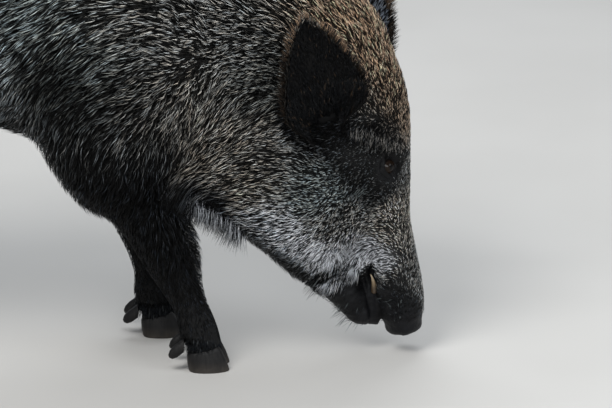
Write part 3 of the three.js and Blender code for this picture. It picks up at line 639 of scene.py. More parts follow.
def ear_mesh(e, rows=44, half=22):
    ring = np.concatenate([np.cos(np.pi * np.arange(half + 1) / half) * -1, np.cos(np.pi * np.arange(1, half) / half)])
    side = np.concatenate([np.ones(half + 1), -np.ones(half - 1)])
    n = len(ring)
    u = np.linspace(-0.16, 1.0, rows + 1)
    V = ear_point(e, np.repeat(u, n), np.tile(ring, rows + 1), np.tile(side, rows + 1))
    T = []
    for r in range(rows):
        for i in range(n):
            a, b2 = r * n + i, r * n + (i + 1) % n
            T += [[a, b2, b2 + n], [a, b2 + n, a + n]]
    V = np.vstack([V, V[:n].mean(0), V[-n:].mean(0)])
    for i in range(n):
        a, b2 = i, (i + 1) % n
        T.append([b2, a, len(V) - 2])
        T.append([a + rows * n, b2 + rows * n, len(V) - 1])
    T = np.array(T)
    return V, orient(V, T)


def orient(V, T):
    a, b, c = V[T[:, 0]], V[T[:, 1]], V[T[:, 2]]
    vol = np.einsum("ij,ij->i", a - V.mean(0), np.cross(b - a, c - a)).sum()
    return T if vol > 0 else T[:, ::-1]


def tube(centres, radii, segments=24, squash=(1.0, 1.0)):
    """A closed tube along points, round, its caps closed at a point."""
    C = np.asarray(centres, dtype=float)
    tan = unit(np.gradient(C, axis=0))
    s = np.array([0.0, 1.0, 0.0]) - tan * tan[:, 1:2]
    bad = np.linalg.norm(s, axis=1) < 0.2
    s[bad] = np.array([1.0, 0, 0]) - tan[bad] * tan[bad][:, :1]
    s = unit(s)
    w = np.cross(tan, s)
    a = np.linspace(0, 2 * math.pi, segments, endpoint=False)
    R = np.asarray(radii, dtype=float)[:, None, None]
    V = C[:, None] + R * (np.cos(a)[None, :, None] * s[:, None] * squash[0] + np.sin(a)[None, :, None] * w[:, None] * squash[1])
    m = len(C)
    V = V.reshape(-1, 3)
    T = []
    for r in range(m - 1):
        for i in range(segments):
            p, q = r * segments + i, r * segments + (i + 1) % segments
            T += [[p, q, q + segments], [p, q + segments, p + segments]]
    V = np.vstack([V, C[0], C[-1]])
    for i in range(segments):
        p, q = i, (i + 1) % segments
        T.append([q, p, len(V) - 2])
        T.append([p + (m - 1) * segments, q + (m - 1) * segments, len(V) - 1])
    T = np.array(T)
    return V, orient(V, T)


TAIL = catmull([[-800, 0, 616], [-868, 0, 608], [-898, 0, 572], [-912, 0, 500], [-916, 0, 420], [-912, 0, 345], [-909, 0, 330]], 8)
tail_t = np.linspace(0, 1, len(TAIL))
tail_r = np.interp(tail_t, [0, 0.12, 0.7, 0.95, 1], [19, 13, 7.5, 5.5, 3.0])

# ------------------------------------------------------------------ markings
# The lie, length and tone of the coat as blends of named places on the animal.
# Rows: x, |y|, z, reach, then the direction that the hair points in (its y is
# outwards from the middle).

LIE = [
    # back, flank and belly
    [-760, 60, 640, 110, -1, .30, -.35], [-600, 70, 680, 120, -1, .28, -.15], [-400, 70, 700, 120, -1, .30, -.12], [-200, 70, 700, 110, -1, .30, .02],
    [-60, 80, 630, 90, -.95, .25, .25], [-53, 120, 501, 80, -.92, 0, .32], [-600, 150, 540, 120, -.9, 0, -.45], [-400, 155, 540, 120, -.92, 0, -.4],
    [-240, 150, 497, 80, -.75, 0, -.68], [-227, 150, 427, 60, -.5, 0, -.85], [-160, 150, 483, 60, -.76, 0, -.64], [-193, 140, 385, 50, -.38, 0, -.92],
    [-400, 130, 420, 110, -.82, 0, -.57], [-600, 130, 420, 100, -.7, 0, -.72], [-400, 60, 350, 110, -.9, .2, -.4], [-550, 60, 360, 100, -.85, .2, -.5],
    # rump and thigh
    [-830, 60, 560, 80, -.5, .1, -.85], [-740, 120, 500, 90, -.6, 0, -.8], [-700, 120, 400, 80, -.35, 0, -.93], [-740, 100, 320, 70, -.3, 0, -.95],
    # legs
    [-790, 80, 200, 90, 0, 0, -1], [-780, 80, 80, 80, .1, 0, -1], [-700, 80, 150, 90, 0, 0, -1], [-120, 100, 320, 60, -.25, 0, -.96],
    [-70, 85, 210, 60, -.1, 0, -1], [-40, 75, 130, 60, 0, 0, -1], [-10, 70, 60, 60, .15, 0, -1], [-75, 70, 60, 60, .1, 0, -1],
    # neck, throat and chest
    [-87, 130, 406, 60, -.9, 0, -.45], [0, 120, 394, 45, -.76, 0, -.62], [27, 110, 378, 35, -.66, 0, -.74], [60, 100, 420, 45, -.9, 0, .1],
    [60, 70, 500, 60, -.9, .1, .35], [-27, 120, 344, 34, -.5, 0, -.85], [13, 115, 331, 26, -.68, 0, -.72], [0, 108, 294, 26, -1, 0, -.08],
    [40, 105, 342, 24, -.93, 0, -.3], [80, 100, 343, 28, -.98, 0, -.10], [47, 98, 291, 28, -1, 0, .08], [87, 98, 291, 28, -.98, 0, .15],
    [67, 88, 246, 26, -.97, 0, .16], [103, 88, 246, 26, -.97, 0, .2], [100, 70, 205, 24, -.98, 0, .02],
    [0, 60, 222, 26, -.15, 0, -1], [27, 55, 212, 24, -.2, 0, -1], [53, 48, 193, 24, -.3, 0, -.95], [-40, 40, 260, 40, -.5, 0, -.85], [-50, 100, 300, 40, -.35, 0, -.93],
    # cheek and jaw
    [127, 90, 281, 28, -.97, 0, .2], [127, 78, 228, 26, -.98, 0, .1], [167, 80, 292, 26, -.95, 0, .1], [187, 65, 238, 28, -.96, 0, -.2], [187, 65, 212, 20, -.95, 0, -.22], [217, 54, 215, 18, -.96, 0, -.12], [160, 70, 205, 24, -.93, 0, -.3],
    [143, 65, 186, 22, -.88, 0, -.46], [217, 52, 190, 18, -.9, 0, -.35], [110, 50, 150, 30, -.75, 0, -.62], [80, 40, 175, 28, -.6, 0, -.75], [170, 30, 100, 30, -.6, 0, -.6], [200, 20, 60, 25, -.5, 0, -.3],
    # round the mouth
    [187, 50, 156, 20, -.66, 0, -.75], [167, 48, 134, 20, -.64, .05, -.76], [208, 50, 142, 14, -.5, 0, -.85], [223, 46, 146, 11, -.3, .1, -.95], [250, 42, 136, 14, -.75, .1, -.5], [246, 42, 112, 14, -.5, 0, -.3], [248, 42, 90, 18, -.45, 0, .85], [258, 38, 172, 18, -.7, 0, .6],
    # snout and forehead
    [262, 20, 200, 40, -.15, 0, 1], [275, 15, 130, 40, -.05, 0, 1], [278, 10, 70, 35, 0, 0, 1], [240, 45, 190, 22, -.85, 0, .25],
    [255, 30, 340, 35, -.25, .1, .95], [233, 30, 402, 40, -.5, .15, .85], [190, 30, 470, 50, -.8, .2, .6], [130, 30, 530, 60, -.95, .15, .35],
    [215, 66, 356, 20, -.45, .2, .8], [185, 80, 340, 20, -.8, .1, .1], [170, 75, 300, 25, -.9, 0, .1],
    # brow and under the eye
    [246, 50, 318, 14, -.05, .35, -.9], [222, 60, 326, 16, -.15, .35, -.9], [198, 70, 330, 14, -.3, .3, -.8], [240, 55, 240, 20, -.85, 0, .3],
]

# Rows: x, |y|, z, reach, then length of a tuft, gap between tufts, width, lift.
# The lift is the part of the coat's depth that the tip rises to.
HAIR = [
    [-400, 150, 520, 200, 48, 3.2, 1.35, .95], [-700, 120, 520, 140, 44, 3.25, 1.35, .95], [-400, 60, 700, 140, 68, 3.3, 1.45, 1.0], [-170, 60, 710, 120, 76, 3.1, 1.45, 1.0],
    [-10, 50, 640, 100, 70, 2.8, 1.35, 1.0], [110, 40, 545, 80, 54, 2.35, 1.25, 1.0], [-200, 150, 450, 110, 42, 2.4, 1.2, .95], [-90, 140, 430, 90, 38, 2.3, 1.15, .95],
    [0, 120, 400, 70, 33, 2.05, 1.05, .95], [60, 100, 420, 50, 30, 1.95, 1.0, .9], [60, 100, 300, 45, 30, 1.95, 1.0, .95], [-20, 70, 215, 55, 50, 2.2, 1.15, 1.05],
    [-120, 120, 330, 50, 38, 2.5, 1.2, .95], [-190, 110, 300, 50, 46, 2.5, 1.25, 1.05], [-400, 60, 350, 110, 50, 3.4, 1.4, 1.0],
    [110, 90, 270, 35, 22, 1.72, .92, .9], [153, 85, 262, 30, 15, 1.55, .84, .9], [193, 60, 190, 30, 13, 1.5, .8, .95], [140, 60, 150, 30, 21, 1.65, .92, 1.0],
    [195, 50, 135, 16, 17, 1.5, .86, 1.0], [60, 40, 165, 40, 38, 2.1, 1.15, 1.0], [238, 42, 120, 22, 9, 1.55, .76, .95], [270, 20, 110, 40, 7.5, 1.55, .72, .95], [266, 20, 200, 35, 9, 1.5, .74, .95],
    [255, 25, 330, 40, 13, 1.5, .82, 1.0], [233, 25, 402, 40, 19, 1.55, .9, 1.0], [190, 30, 460, 50, 32, 1.8, 1.05, 1.0],
    [200, 60, 70, 30, 7, 3.0, .7, .9], [175, 25, 90, 30, 10, 2.4, .8, .9], [240, 50, 275, 22, 5.5, 1.75, .6, .75], [205, 75, 290, 24, 8, 1.8, .75, .8],
    [-90, 95, 230, 40, 17, 2.6, 1.1, .4], [-50, 78, 140, 50, 11, 2.7, 1.0, .3], [-20, 72, 60, 50, 11, 2.6, 1.0, .3], [-90, 72, 90, 50, 11, 2.7, 1.0, .3],
    [-740, 100, 330, 60, 30, 3.1, 1.3, .9], [-780, 85, 210, 60, 13, 2.9, 1.1, .45], [-780, 78, 80, 70, 11, 2.8, 1.0, .3],
]

# tones, linear. The cyan cast of COOL and the blue cast of BLACK are partly painted reflection: the bluish sky sheen
# on the hair tips, put into the colour of the coat.
COOL, GREY, WARM = (.176, .204, .205), (.222, .222, .212), (.31, .288, .252)
BROWN, WHITE, BLACK, RUST = (.37, .255, .175), (1.25, 1.33, 1.42), (.008, .0095, .012), (.15, .100, .064)
DUSK = (.060, .064, .066)

# Rows: x, |y|, z, reach, tip tone, share of light-tipped tufts, darkness of the root
def tone(x, y, z, reach, colour, light, root):
    return [x, y, z, reach, *colour, light, root]


TONES = [
    tone(-400, 150, 540, 160, COOL, .55, .006), tone(-240, 150, 497, 80, COOL, .55, .005), tone(-400, 60, 700, 140, GREY, .55, .010), tone(-700, 120, 540, 130, COOL, .5, .009),
    tone(-232, 150, 434, 38, (.27, .295, .30), .66, .006), tone(-252, 148, 396, 40, (.17, .185, .19), .6, .006), tone(-193, 140, 385, 45, DUSK, .45, .006), tone(-400, 110, 400, 120, DUSK, .6, .008), tone(-650, 120, 400, 100, DUSK, .5, .007),
    tone(-156, 150, 424, 40, (.014, .016, .015), .42, .003), tone(-182, 150, 446, 26, (.030, .033, .032), .45, .004), tone(-120, 140, 452, 34, COOL, .5, .007), tone(-150, 150, 400, 30, DUSK, .45, .005), tone(-87, 135, 412, 46, (.105, .105, .10), .46, .006), tone(-53, 120, 501, 80, GREY, .62, .012), tone(0, 60, 640, 90, GREY, .55, .010),
    tone(0, 120, 394, 45, WARM, .55, .011), tone(40, 110, 440, 50, GREY, .55, .011), tone(60, 100, 330, 40, (.24, .225, .20), .55, .008), tone(-60, 120, 340, 45, GREY, .35, .007),
    tone(5, 62, 222, 26, (.50, .53, .55), .45, .005), tone(35, 56, 208, 24, (.50, .53, .55), .45, .005), tone(28, 80, 238, 16, BLACK, .3, .003), tone(0, 88, 262, 14, BLACK, .3, .003), tone(-40, 40, 250, 50, DUSK, .4, .006), tone(70, 90, 270, 35, WARM, .55, .010),
    tone(110, 95, 300, 35, GREY, .55, .011), tone(153, 85, 262, 30, COOL, .62, .012), tone(100, 85, 207, 24, (.5, .53, .56), .55, .008), tone(128, 75, 184, 20, WHITE, .6, .010), tone(153, 65, 160, 20, WHITE, .8, .012), tone(160, 72, 205, 22, GREY, .62, .012),
    tone(187, 52, 142, 18, WHITE, .9, .016), tone(216, 46, 148, 14, WHITE, .9, .016), tone(200, 58, 200, 22, GREY, .55, .008), tone(195, 58, 176, 16, (.55, .57, .6), .6, .010), tone(118, 50, 148, 22, DUSK, .5, .006), tone(90, 45, 185, 30, DUSK, .5, .007),
    tone(240, 44, 134, 12, WHITE, .72, .012), tone(245, 42, 105, 18, GREY, .7, .016), tone(270, 18, 110, 34, GREY, .62, .014), tone(262, 22, 190, 32, WARM, .62, .016),
    tone(255, 25, 260, 28, GREY, .6, .014), tone(258, 25, 330, 34, (.30, .225, .165), .5, .010), tone(233, 25, 402, 38, BROWN, .6, .014), tone(190, 30, 470, 45, BROWN, .55, .012), tone(120, 30, 545, 50, WARM, .5, .012),
    # In the next row, the dark tones at (242, 50, 310), (222, 58, 318) and (215, 62, 318) are painted shadow: the dark
    # line under the overhang of the brow.
    tone(205, 75, 350, 26, WARM, .55, .012), tone(242, 50, 310, 15, (.075, .074, .07), .4, .004), tone(222, 58, 318, 15, (.06, .06, .058), .4, .004), tone(215, 62, 318, 16, DUSK, .35, .004), tone(205, 74, 290, 24, DUSK, .4, .006), tone(160, 88, 315, 22, DUSK, .4, .005), tone(240, 50, 270, 22, DUSK, .2, .005), tone(78, 98, 405, 32, (.11, .115, .11), .5, .006), tone(232, 52, 238, 16, DUSK, .4, .005), tone(225, 56, 262, 20, DUSK, .25, .004),
    # In the next row, the black tones at (167, 80, 343), (150, 78, 352), (184, 72, 338) and the dusky one at (150, 88,
    # 325) are painted shade under the root of the ear.
    tone(195, 30, 70, 26, BLACK, .3, .006), tone(255, 30, 45, 14, BLACK, .3, .006), tone(246, 42, 84, 17, BLACK, .3, .004), tone(262, 34, 62, 14, BLACK, .3, .004), tone(167, 80, 343, 24, BLACK, .1, .003), tone(150, 78, 352, 20, BLACK, .1, .003), tone(184, 72, 338, 18, BLACK, .15, .003), tone(150, 88, 325, 16, DUSK, .25, .003), tone(165, 30, 105, 24, DUSK, .35, .006),
    # In the next row, the black tones at (-110, 120, 290), (-60, 112, 290), (-30, 95, 255) and the dusky ones at
    # (-135, 125, 335), (-70, 110, 340) are painted shade: the fold between the neck and the shoulder and the shadow
    # under the body over the upper foreleg.
    tone(-110, 120, 290, 38, BLACK, .2, .003), tone(-60, 112, 290, 30, BLACK, .2, .003), tone(-30, 95, 255, 20, BLACK, .2, .003), tone(-135, 125, 335, 34, DUSK, .25, .004), tone(-70, 110, 340, 26, DUSK, .3, .004), tone(0, 108, 312, 26, (.23, .21, .18), .5, .007), tone(14, 95, 265, 22, (.24, .225, .20), .5, .006), tone(247, 38, 212, 14, (.42, .38, .33), .65, .010), tone(-90, 95, 230, 45, BLACK, .35, .004), tone(-50, 78, 140, 60, BLACK, .35, .005), tone(-20, 72, 60, 60, BLACK, .4, .006),
    tone(-740, 100, 320, 60, DUSK, .3, .006), tone(-780, 85, 200, 70, BLACK, .35, .005), tone(-780, 78, 70, 80, BLACK, .4, .006), tone(-400, 40, 340, 100, DUSK, .35, .006),
    tone(-840, 50, 560, 70, DUSK, .5, .008),
]


def bare(p):
    """1 on naked hide: the pad, the lips, the front of the lower jaw and the rims of the eyes."""
    x, y, z = p[:, 0], np.abs(p[:, 1]), p[:, 2]
    pad = smoothstep(x, 226, 236) * smoothstep(z, 58, 44)
    jaw = smoothstep(x - 1.4 * z, 28, 50) * smoothstep(x, 232, 226) * smoothstep(z, 128, 112)
    eye = np.minimum(np.linalg.norm(p - EYE_C[0], axis=1), np.linalg.norm(p - EYE_C[1], axis=1))
    lid = smoothstep(eye, 27, 19)
    line = np.abs(x - np.interp(z, [20, 60, 110, 150], MOUTH_X))
    lip = smoothstep(line, 10, 5) * smoothstep(z, 138, 122)
    end = 0.72 * smoothstep(z + 0.85 * (x - 230), 124, 102) * smoothstep(x, 224, 232)
    return np.clip(np.maximum.reduce([pad, 0.85 * jaw, lid, lip, end]), 0, 1)


# ------------------------------------------------------------------ tufts

class Coat:
    """Collects closed spindles: a root, one or two rings of three, and a tip."""

    def __init__(self, name):
        self.name, self.v, self.t, self.c, self.uv, self.count = name, [], [], [], [], 0

    def add(self, spine, side, width, thick, colours, uv):
        """spine (n, k, 3): root, rings, tip. side (n, 3): the tuft's width direction."""
        n, k = spine.shape[:2]
        rings = k - 2
        if not n:
            return
        per = 2 + 3 * rings
        V = np.empty((n, per, 3))
        C = np.empty((n, per, 4))
        V[:, 0], V[:, -1] = spine[:, 0], spine[:, -1]
        C[:, 0], C[:, -1] = colours[:, 0], colours[:, -1]
        for r in range(rings):
            along = unit(spine[:, r + 2] - spine[:, r])
            s = unit(side - along * (side * along).sum(1, keepdims=True))
            up = np.cross(along, s)

            w = (width[:, r] / 2)[:, None]
            h = (thick[:, r] / 2)[:, None]
            p = spine[:, r + 1]
            V[:, 1 + 3 * r] = p - s * w - up * h * 0.5
            V[:, 2 + 3 * r] = p + s * w - up * h * 0.5
            V[:, 3 + 3 * r] = p + up * h
            C[:, 1 + 3 * r: 4 + 3 * r] = colours[:, r + 1][:, None]
        tri = []
        for i in range(3):
            j = (i + 1) % 3
            tri.append([0, 1 + j, 1 + i])
            for r in range(rings - 1):
                a, b = 1 + 3 * r + i, 1 + 3 * r + j
                tri += [[a, b, b + 3], [a, b + 3, a + 3]]
            tri.append([per - 1, 1 + 3 * (rings - 1) + i, 1 + 3 * (rings - 1) + j])
        tri = np.array(tri)
        vol = 0
        a, b, c3 = (V[0][tri[:, q]] for q in range(3))
        if np.einsum("ij,ij->i", a - V[0].mean(0), np.cross(b - a, c3 - a)).sum() < 0:
            tri = tri[:, ::-1]
        T = tri[None] + (np.arange(n) * per)[:, None, None] + sum(len(v) for v in self.v)
        # a small patch for each tuft: v runs from the root to the tip
        cum = np.array([0.0] + [0.5] * (3 * rings) + [1.0])
        if rings == 2:
            cum = np.array([0.0] + [0.4] * 3 + [0.72] * 3 + [1.0])
        across = np.array([0.5] + [0.1, 0.9, 0.5] * rings + [0.5])
        patch = np.stack([across, cum], 1) * 0.003 - 0.0015
        self.uv.append((uv[:, None] + patch[None]).reshape(-1, 2))
        self.v.append(V.reshape(-1, 3))
        self.c.append(C.reshape(-1, 4))
        self.t.append(T.reshape(-1, 3))
        self.count += n

    def build(self, material, slot):
        V, T, C, U = (np.concatenate(q) for q in (self.v, self.t, self.c, self.uv))
        me = mesh_from(self.name, place(V), tris=T)
        att = me.color_attributes.new("hair", "FLOAT_COLOR", "POINT")
        att.data.foreach_set("color", C.astype(F).ravel())
        layer = me.uv_layers.new(name="OFBake")
        layer.data.foreach_set("uv", U[T.ravel()].astype(F).ravel())
        ob = bpy.data.objects.new(self.name, me)
        bpy.context.collection.objects.link(ob)
        ob.data.materials.append(material)
        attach(ob, "root")
        print("PIECE", self.name, self.count, "tufts", len(T), "triangles")
        return ob


def scatter(V, T, gap_of, keep=None):
    """Even random roots over the triangles, about one per gap by gap."""
    a, b, c = V[T[:, 0]], V[T[:, 1]], V[T[:, 2]]
    nrm = np.cross(b - a, c - a)
    area = 0.5 * np.linalg.norm(nrm, axis=1)
    mid = (a + b + c) / 3
    rate = area / gap_of(mid) ** 2
    if keep is not None:
        rate = rate * keep(mid)
    cum = np.cumsum(rate)
    n = int(cum[-1])
    pick = np.searchsorted(cum, (np.arange(n) + rng.random(n)) * cum[-1] / n)
    pick = np.minimum(pick, len(T) - 1)
    r1, r2 = np.sqrt(rng.random(n)), rng.random(n)
    w = np.stack([1 - r1, r1 * (1 - r2), r1 * r2], 1)
    p = a[pick] * w[:, :1] + b[pick] * w[:, 1:2] + c[pick] * w[:, 2:]
    return p, pick, w


def vertex_normals(V, T):
    a, b, c = V[T[:, 0]], V[T[:, 1]], V[T[:, 2]]
    fn = np.cross(b - a, c - a)
    out = np.zeros_like(V)
    for q in range(3):
        for ax_ in range(3):
            out[:, ax_] += np.bincount(T[:, q], weights=fn[:, ax_], minlength=len(V))
    return unit(out)


def lie(p, n):
    d = blend_tables(p, LIE)
    d[:, 1] *= np.clip(p[:, 1] / 30, -1, 1)
    d = d - n * (d * n).sum(1, keepdims=True)
    return unit(d)


def turned(d, n, angle):
    s = np.cross(n, d)
    return d * np.cos(angle)[:, None] + s * np.sin(angle)[:, None]


def clump(roots, tips, size, pull):
    """Tips draw together towards the nearest of a sparse set of tips."""
    m = len(roots)
    k = max(1, int(m / size))
    seeds = rng.choice(m, k, replace=False)
    tree = kdtree.KDTree(k)
    for i, s in enumerate(seeds):
        tree.insert(roots[s], i)
    tree.balance()
    near = np.array([seeds[tree.find(r)[1]] for r in roots])
    return (tips[near] - roots[near] * 0 - tips) * pull[:, None]


body_n = vertex_normals(body_v, body_t)
hair_rows = HAIR


def hair_at(p):
    return blend_tables(p, hair_rows)


def gap_of(p):
    return hair_at(p)[:, 1] * np.where(p[:, 1] > 0, 1.12, 1.0)



def hairy(p):
    k = 1 - bare(p)
    # nothing inside the claws or under the feet
    k *= smoothstep(p[:, 2], 26, 32)
    return k


roots, pick, w = scatter(body_v, body_t, gap_of, hairy)
rn = unit((body_n[body_t[pick]] * w[:, :, None]).sum(1))
kind = hair_at(roots)
depth = coat_depth(roots)
N = len(roots)
print("tufts on the body", N)

seed = rng.random((N, 6))
length = kind[:, 0] * (0.72 + 0.5 * seed[:, 0])
d0 = lie(roots, rn)
swirl = 0.24 * noise3(roots, 70, 11) + 0.10 * noise3(roots, 17, 12)
short = smoothstep(kind[:, 0], 24, 9)
d0 = turned(d0, rn, swirl + (seed[:, 1] - 0.5) * (0.26 + 0.26 * short))
top = depth * kind[:, 3] * (0.5 + 0.5 * seed[:, 2] ** 0.6)
top = np.minimum(top, 0.72 * length)
long_ones = kind[:, 0] > 27


def lay(p, n, target):
    """Moves points out or in along n until they stand target above the flesh."""
    for _ in range(2):
        p = p + n * np.clip(target - height(p), -14, 14)[:, None]
    return p


base = roots - rn * np.minimum(2.0, 0.2 * length)[:, None]
run = np.sqrt(np.maximum(length ** 2 - top ** 2, (0.5 * length) ** 2))
d1 = turned(d0, rn, 0.16 * noise3(roots, 9, 13))
at_ring = np.where(long_ones, 0.68, 0.60)
pm = lay(roots + d0 * (at_ring * run)[:, None] + rn * (0.86 * top)[:, None], rn, 0.86 * top)
p3 = lay(roots + d1 * run[:, None] + rn * top[:, None], rn, top)
pull = np.clip(0.14 + 0.22 * noise3(roots, 40, 14), 0, 0.4) * (0.4 + 0.6 * long_ones)
shift_tip = clump(roots, p3, 9, pull)
lim = 0.13 * length[:, None]
sz = np.linalg.norm(shift_tip, axis=1, keepdims=True)
shift_tip *= np.minimum(1, lim / np.maximum(sz, 1e-6))
p3 = p3 + shift_tip
pm = pm + shift_tip * 0.5

# never through the claws or the ground
for q in (pm, p3):
    low = q[:, 2] < 16
    q[low, 2] = 16 + 0.2 * (q[low, 2] - 16)

# none stands in the cup of an ear
in_ear = np.zeros(N, dtype=bool)
for e in EARS.values():
    b, up, out, across = ear_frame(e)
    for q in (roots, pm, p3):
        r = q - b
        u = (r @ up) / (e["length"] * 0.94)
        v = (r @ across) / ear_half(e, np.clip(u, -0.14, 1))
        inner = (ear_point(e, np.clip(u, -0.14, 1), np.clip(v, -1, 1), 1.0) - b) @ out
        in_ear |= (u > 0.04) & (u < 1) & (np.abs(v) < 0.88) & (r @ out > inner - 7) & (r @ out < inner + 60)

LIGHT_SHARE, LIGHT_LOW, LIGHT_RISE = 0.84, 0.9, 2.6
shade = blend_tones(roots, TONES)
tip_tone, light_share, root_tone = shade[:, :3], shade[:, 3], shade[:, 4]
patchy = 0.78 + 0.30 * noise3(roots, 60, 21) + 0.22 * noise3(roots, 15, 22) + 0.26 * noise3(roots, 4.2, 23)
is_light = seed[:, 3] < np.clip(light_share * np.maximum(patchy, 0.1) * LIGHT_SHARE, 0, 1)
value = np.where(is_light, LIGHT_LOW + LIGHT_RISE * seed[:, 4] ** 1.5, 0.015 + 0.07 * seed[:, 4])
tint = 1 + (seed[:, 5:6] - 0.5) * np.array([0.16, 0.0, -0.16])
tip_c = np.minimum(tip_tone * value[:, None] * tint, [0.86, 0.88, 0.92])
tip_c = np.maximum(tip_c, root_tone[:, None] * 0.3)
# where along the tuft its light end begins, earlier on short hair
band = (seed[:, 0] - 0.5) * 0.20 + 0.10 * short + 0.24 * smoothstep(tip_tone.mean(1), 0.30, 0.80) * is_light


def rgba(c, t):
    """Tone, and in the fourth channel how far along the tuft: 0 at the root, 1 at the tip."""
    return np.concatenate([c, (t + band)[:, None]], 1)


def unwrap(p, kind_):
    """An unwrap of the skin's own shape: round the trunk or the head, and round each leg in a strip of its own."""
    x, y, z = p.T
    if kind_ == "trunk":
        a = np.arctan2(y, z - 530) / (2 * math.pi) + 0.5
        return np.stack([0.02 + 0.96 * (x + 900) / 1060, 0.02 + 0.96 * a], 1)
    if kind_ == "head":
        q = p - np.array([150, 0, 350])
        t = q @ np.array([0.36, 0, -0.93])
        s = q @ np.array([0.93, 0, 0.36])
        a = np.arctan2(y, -(s + 20)) / (2 * math.pi) + 0.5
        return np.stack([0.02 + 0.96 * (t + 170) / 560, 0.02 + 0.96 * a], 1)
    # legs: four strips
    strip = (x < -400).astype(int) * 2 + (y > 0)
    centre = np.where(x < -400, -750.0, -75.0)
    a = np.arctan2(y - np.sign(y) * 80, x - centre) / (2 * math.pi) + 0.5
    return np.stack([0.01 + 0.24 * strip + 0.22 * a, 0.02 + 0.96 * z / 420], 1)


x, y, z = roots.T
head_zone = (x - 0.36 * z > -5) & (x > 40)
face_zone = (x - 0.36 * z > 75) & (x > 130)
leg_zone = ~head_zone & (z < np.where(x < -400, 330, 300)) & ((x > -260) & (x < 60) | (x < -580))
right = y < 0
zones = {
    "coat_face_right": face_zone & right, "coat_face_left": face_zone & ~right,
    "coat_neck_right": head_zone & ~face_zone & right, "coat_neck_left": head_zone & ~face_zone & ~right,
    "coat_forelegs": leg_zone & (x > -400), "coat_hindlegs": leg_zone & (x <= -400),
}
rest = ~(head_zone | leg_zone)
for name, lo, hi in (("shoulder", -200, 400), ("flank", -470, -200), ("rump", -1200, -470)):
    zones[f"coat_{name}_right"] = rest & (x > lo) & (x <= hi) & right
    zones[f"coat_{name}_left"] = rest & (x > lo) & (x <= hi) & ~right
COATS = {}
for name, m in zones.items():
    coat = COATS[name] = Coat(name)
    kind_ = "head" if "face" in name or "neck" in name else "legs" if "legs" in name else "trunk"
    uv = unwrap(roots, kind_)
    lo, hi = uv[m].min(0), uv[m].max(0)
    uv = 0.01 + 0.98 * (uv - lo) / np.maximum(hi - lo, 1e-6)
    wid = 0.86 * kind[:, 2] * (0.75 + 0.5 * seed[:, 1])
    side_dir = np.cross(rn, d0)
    i = np.nonzero(m & ~in_ear)[0]
    coat.add(np.stack([base[i], pm[i], p3[i]], 1), side_dir[i], wid[i][:, None], wid[i][:, None] * 0.6,
             np.stack([rgba(tip_c, 0.0)[i], rgba(tip_c, at_ring)[i], rgba(tip_c, 1.0)[i]], 1), uv[i])



# ------------------------------------------------------------------ ear hair

ears_coat = COATS["coat_ears_tail"] = Coat("coat_ears_tail")
ear_meshes = {}


def spindle(coat, root, direction, normal, L, lift_to, wd, root_col, tip_col, uv, drop=0.0, two=False):
    n = len(root)
    d, nn = unit(direction), normal
    L = np.broadcast_to(np.asarray(L, dtype=float), (n,))
    h = np.broadcast_to(np.asarray(lift_to, dtype=float), (n,))
    wd = np.broadcast_to(np.asarray(wd, dtype=float), (n,))
    b = root - nn * 0.8
    m1 = root + d * (0.34 * L)[:, None] + nn * (0.55 * h)[:, None]
    m2 = root + d * (0.70 * L)[:, None] + nn * (0.9 * h)[:, None] + np.array([0, 0, -1.0]) * (0.3 * drop * L)[:, None]
    tip = root + d * L[:, None] + nn * h[:, None] + np.array([0, 0, -1.0]) * (drop * L)[:, None]
    s = unit(np.cross(nn, d))
    tc = np.maximum(tip_col, root_col * 0.3)

    def at(t):
        return np.hstack([tc, np.full((n, 1), t)])

    if two:
        coat.add(np.stack([b, m1, m2, tip], 1), s, np.stack([wd * 0.85, wd], 1), np.stack([wd, wd], 1) * 0.6, np.stack([at(0.0), at(0.34), at(0.7), at(1.0)], 1), uv)
    else:
        coat.add(np.stack([b, 0.4 * m1 + 0.6 * m2, tip], 1), s, wd[:, None], wd[:, None] * 0.55, np.stack([at(0.1), at(0.68), at(1.1)], 1), uv)


def mixed(n, tip, dark, share, spread=0.5):
    """Light and dark tufts mixed: (tip colours, random numbers)."""
    r = rng.random((n, 3))
    k = np.where(r[:, 0] < share, 0.6 + 0.8 * r[:, 1], 0.0)[:, None]
    return np.asarray(tip) * k + np.asarray(dark) * (1 - np.minimum(k, 1)) * (0.6 + 0.8 * r[:, 2:])


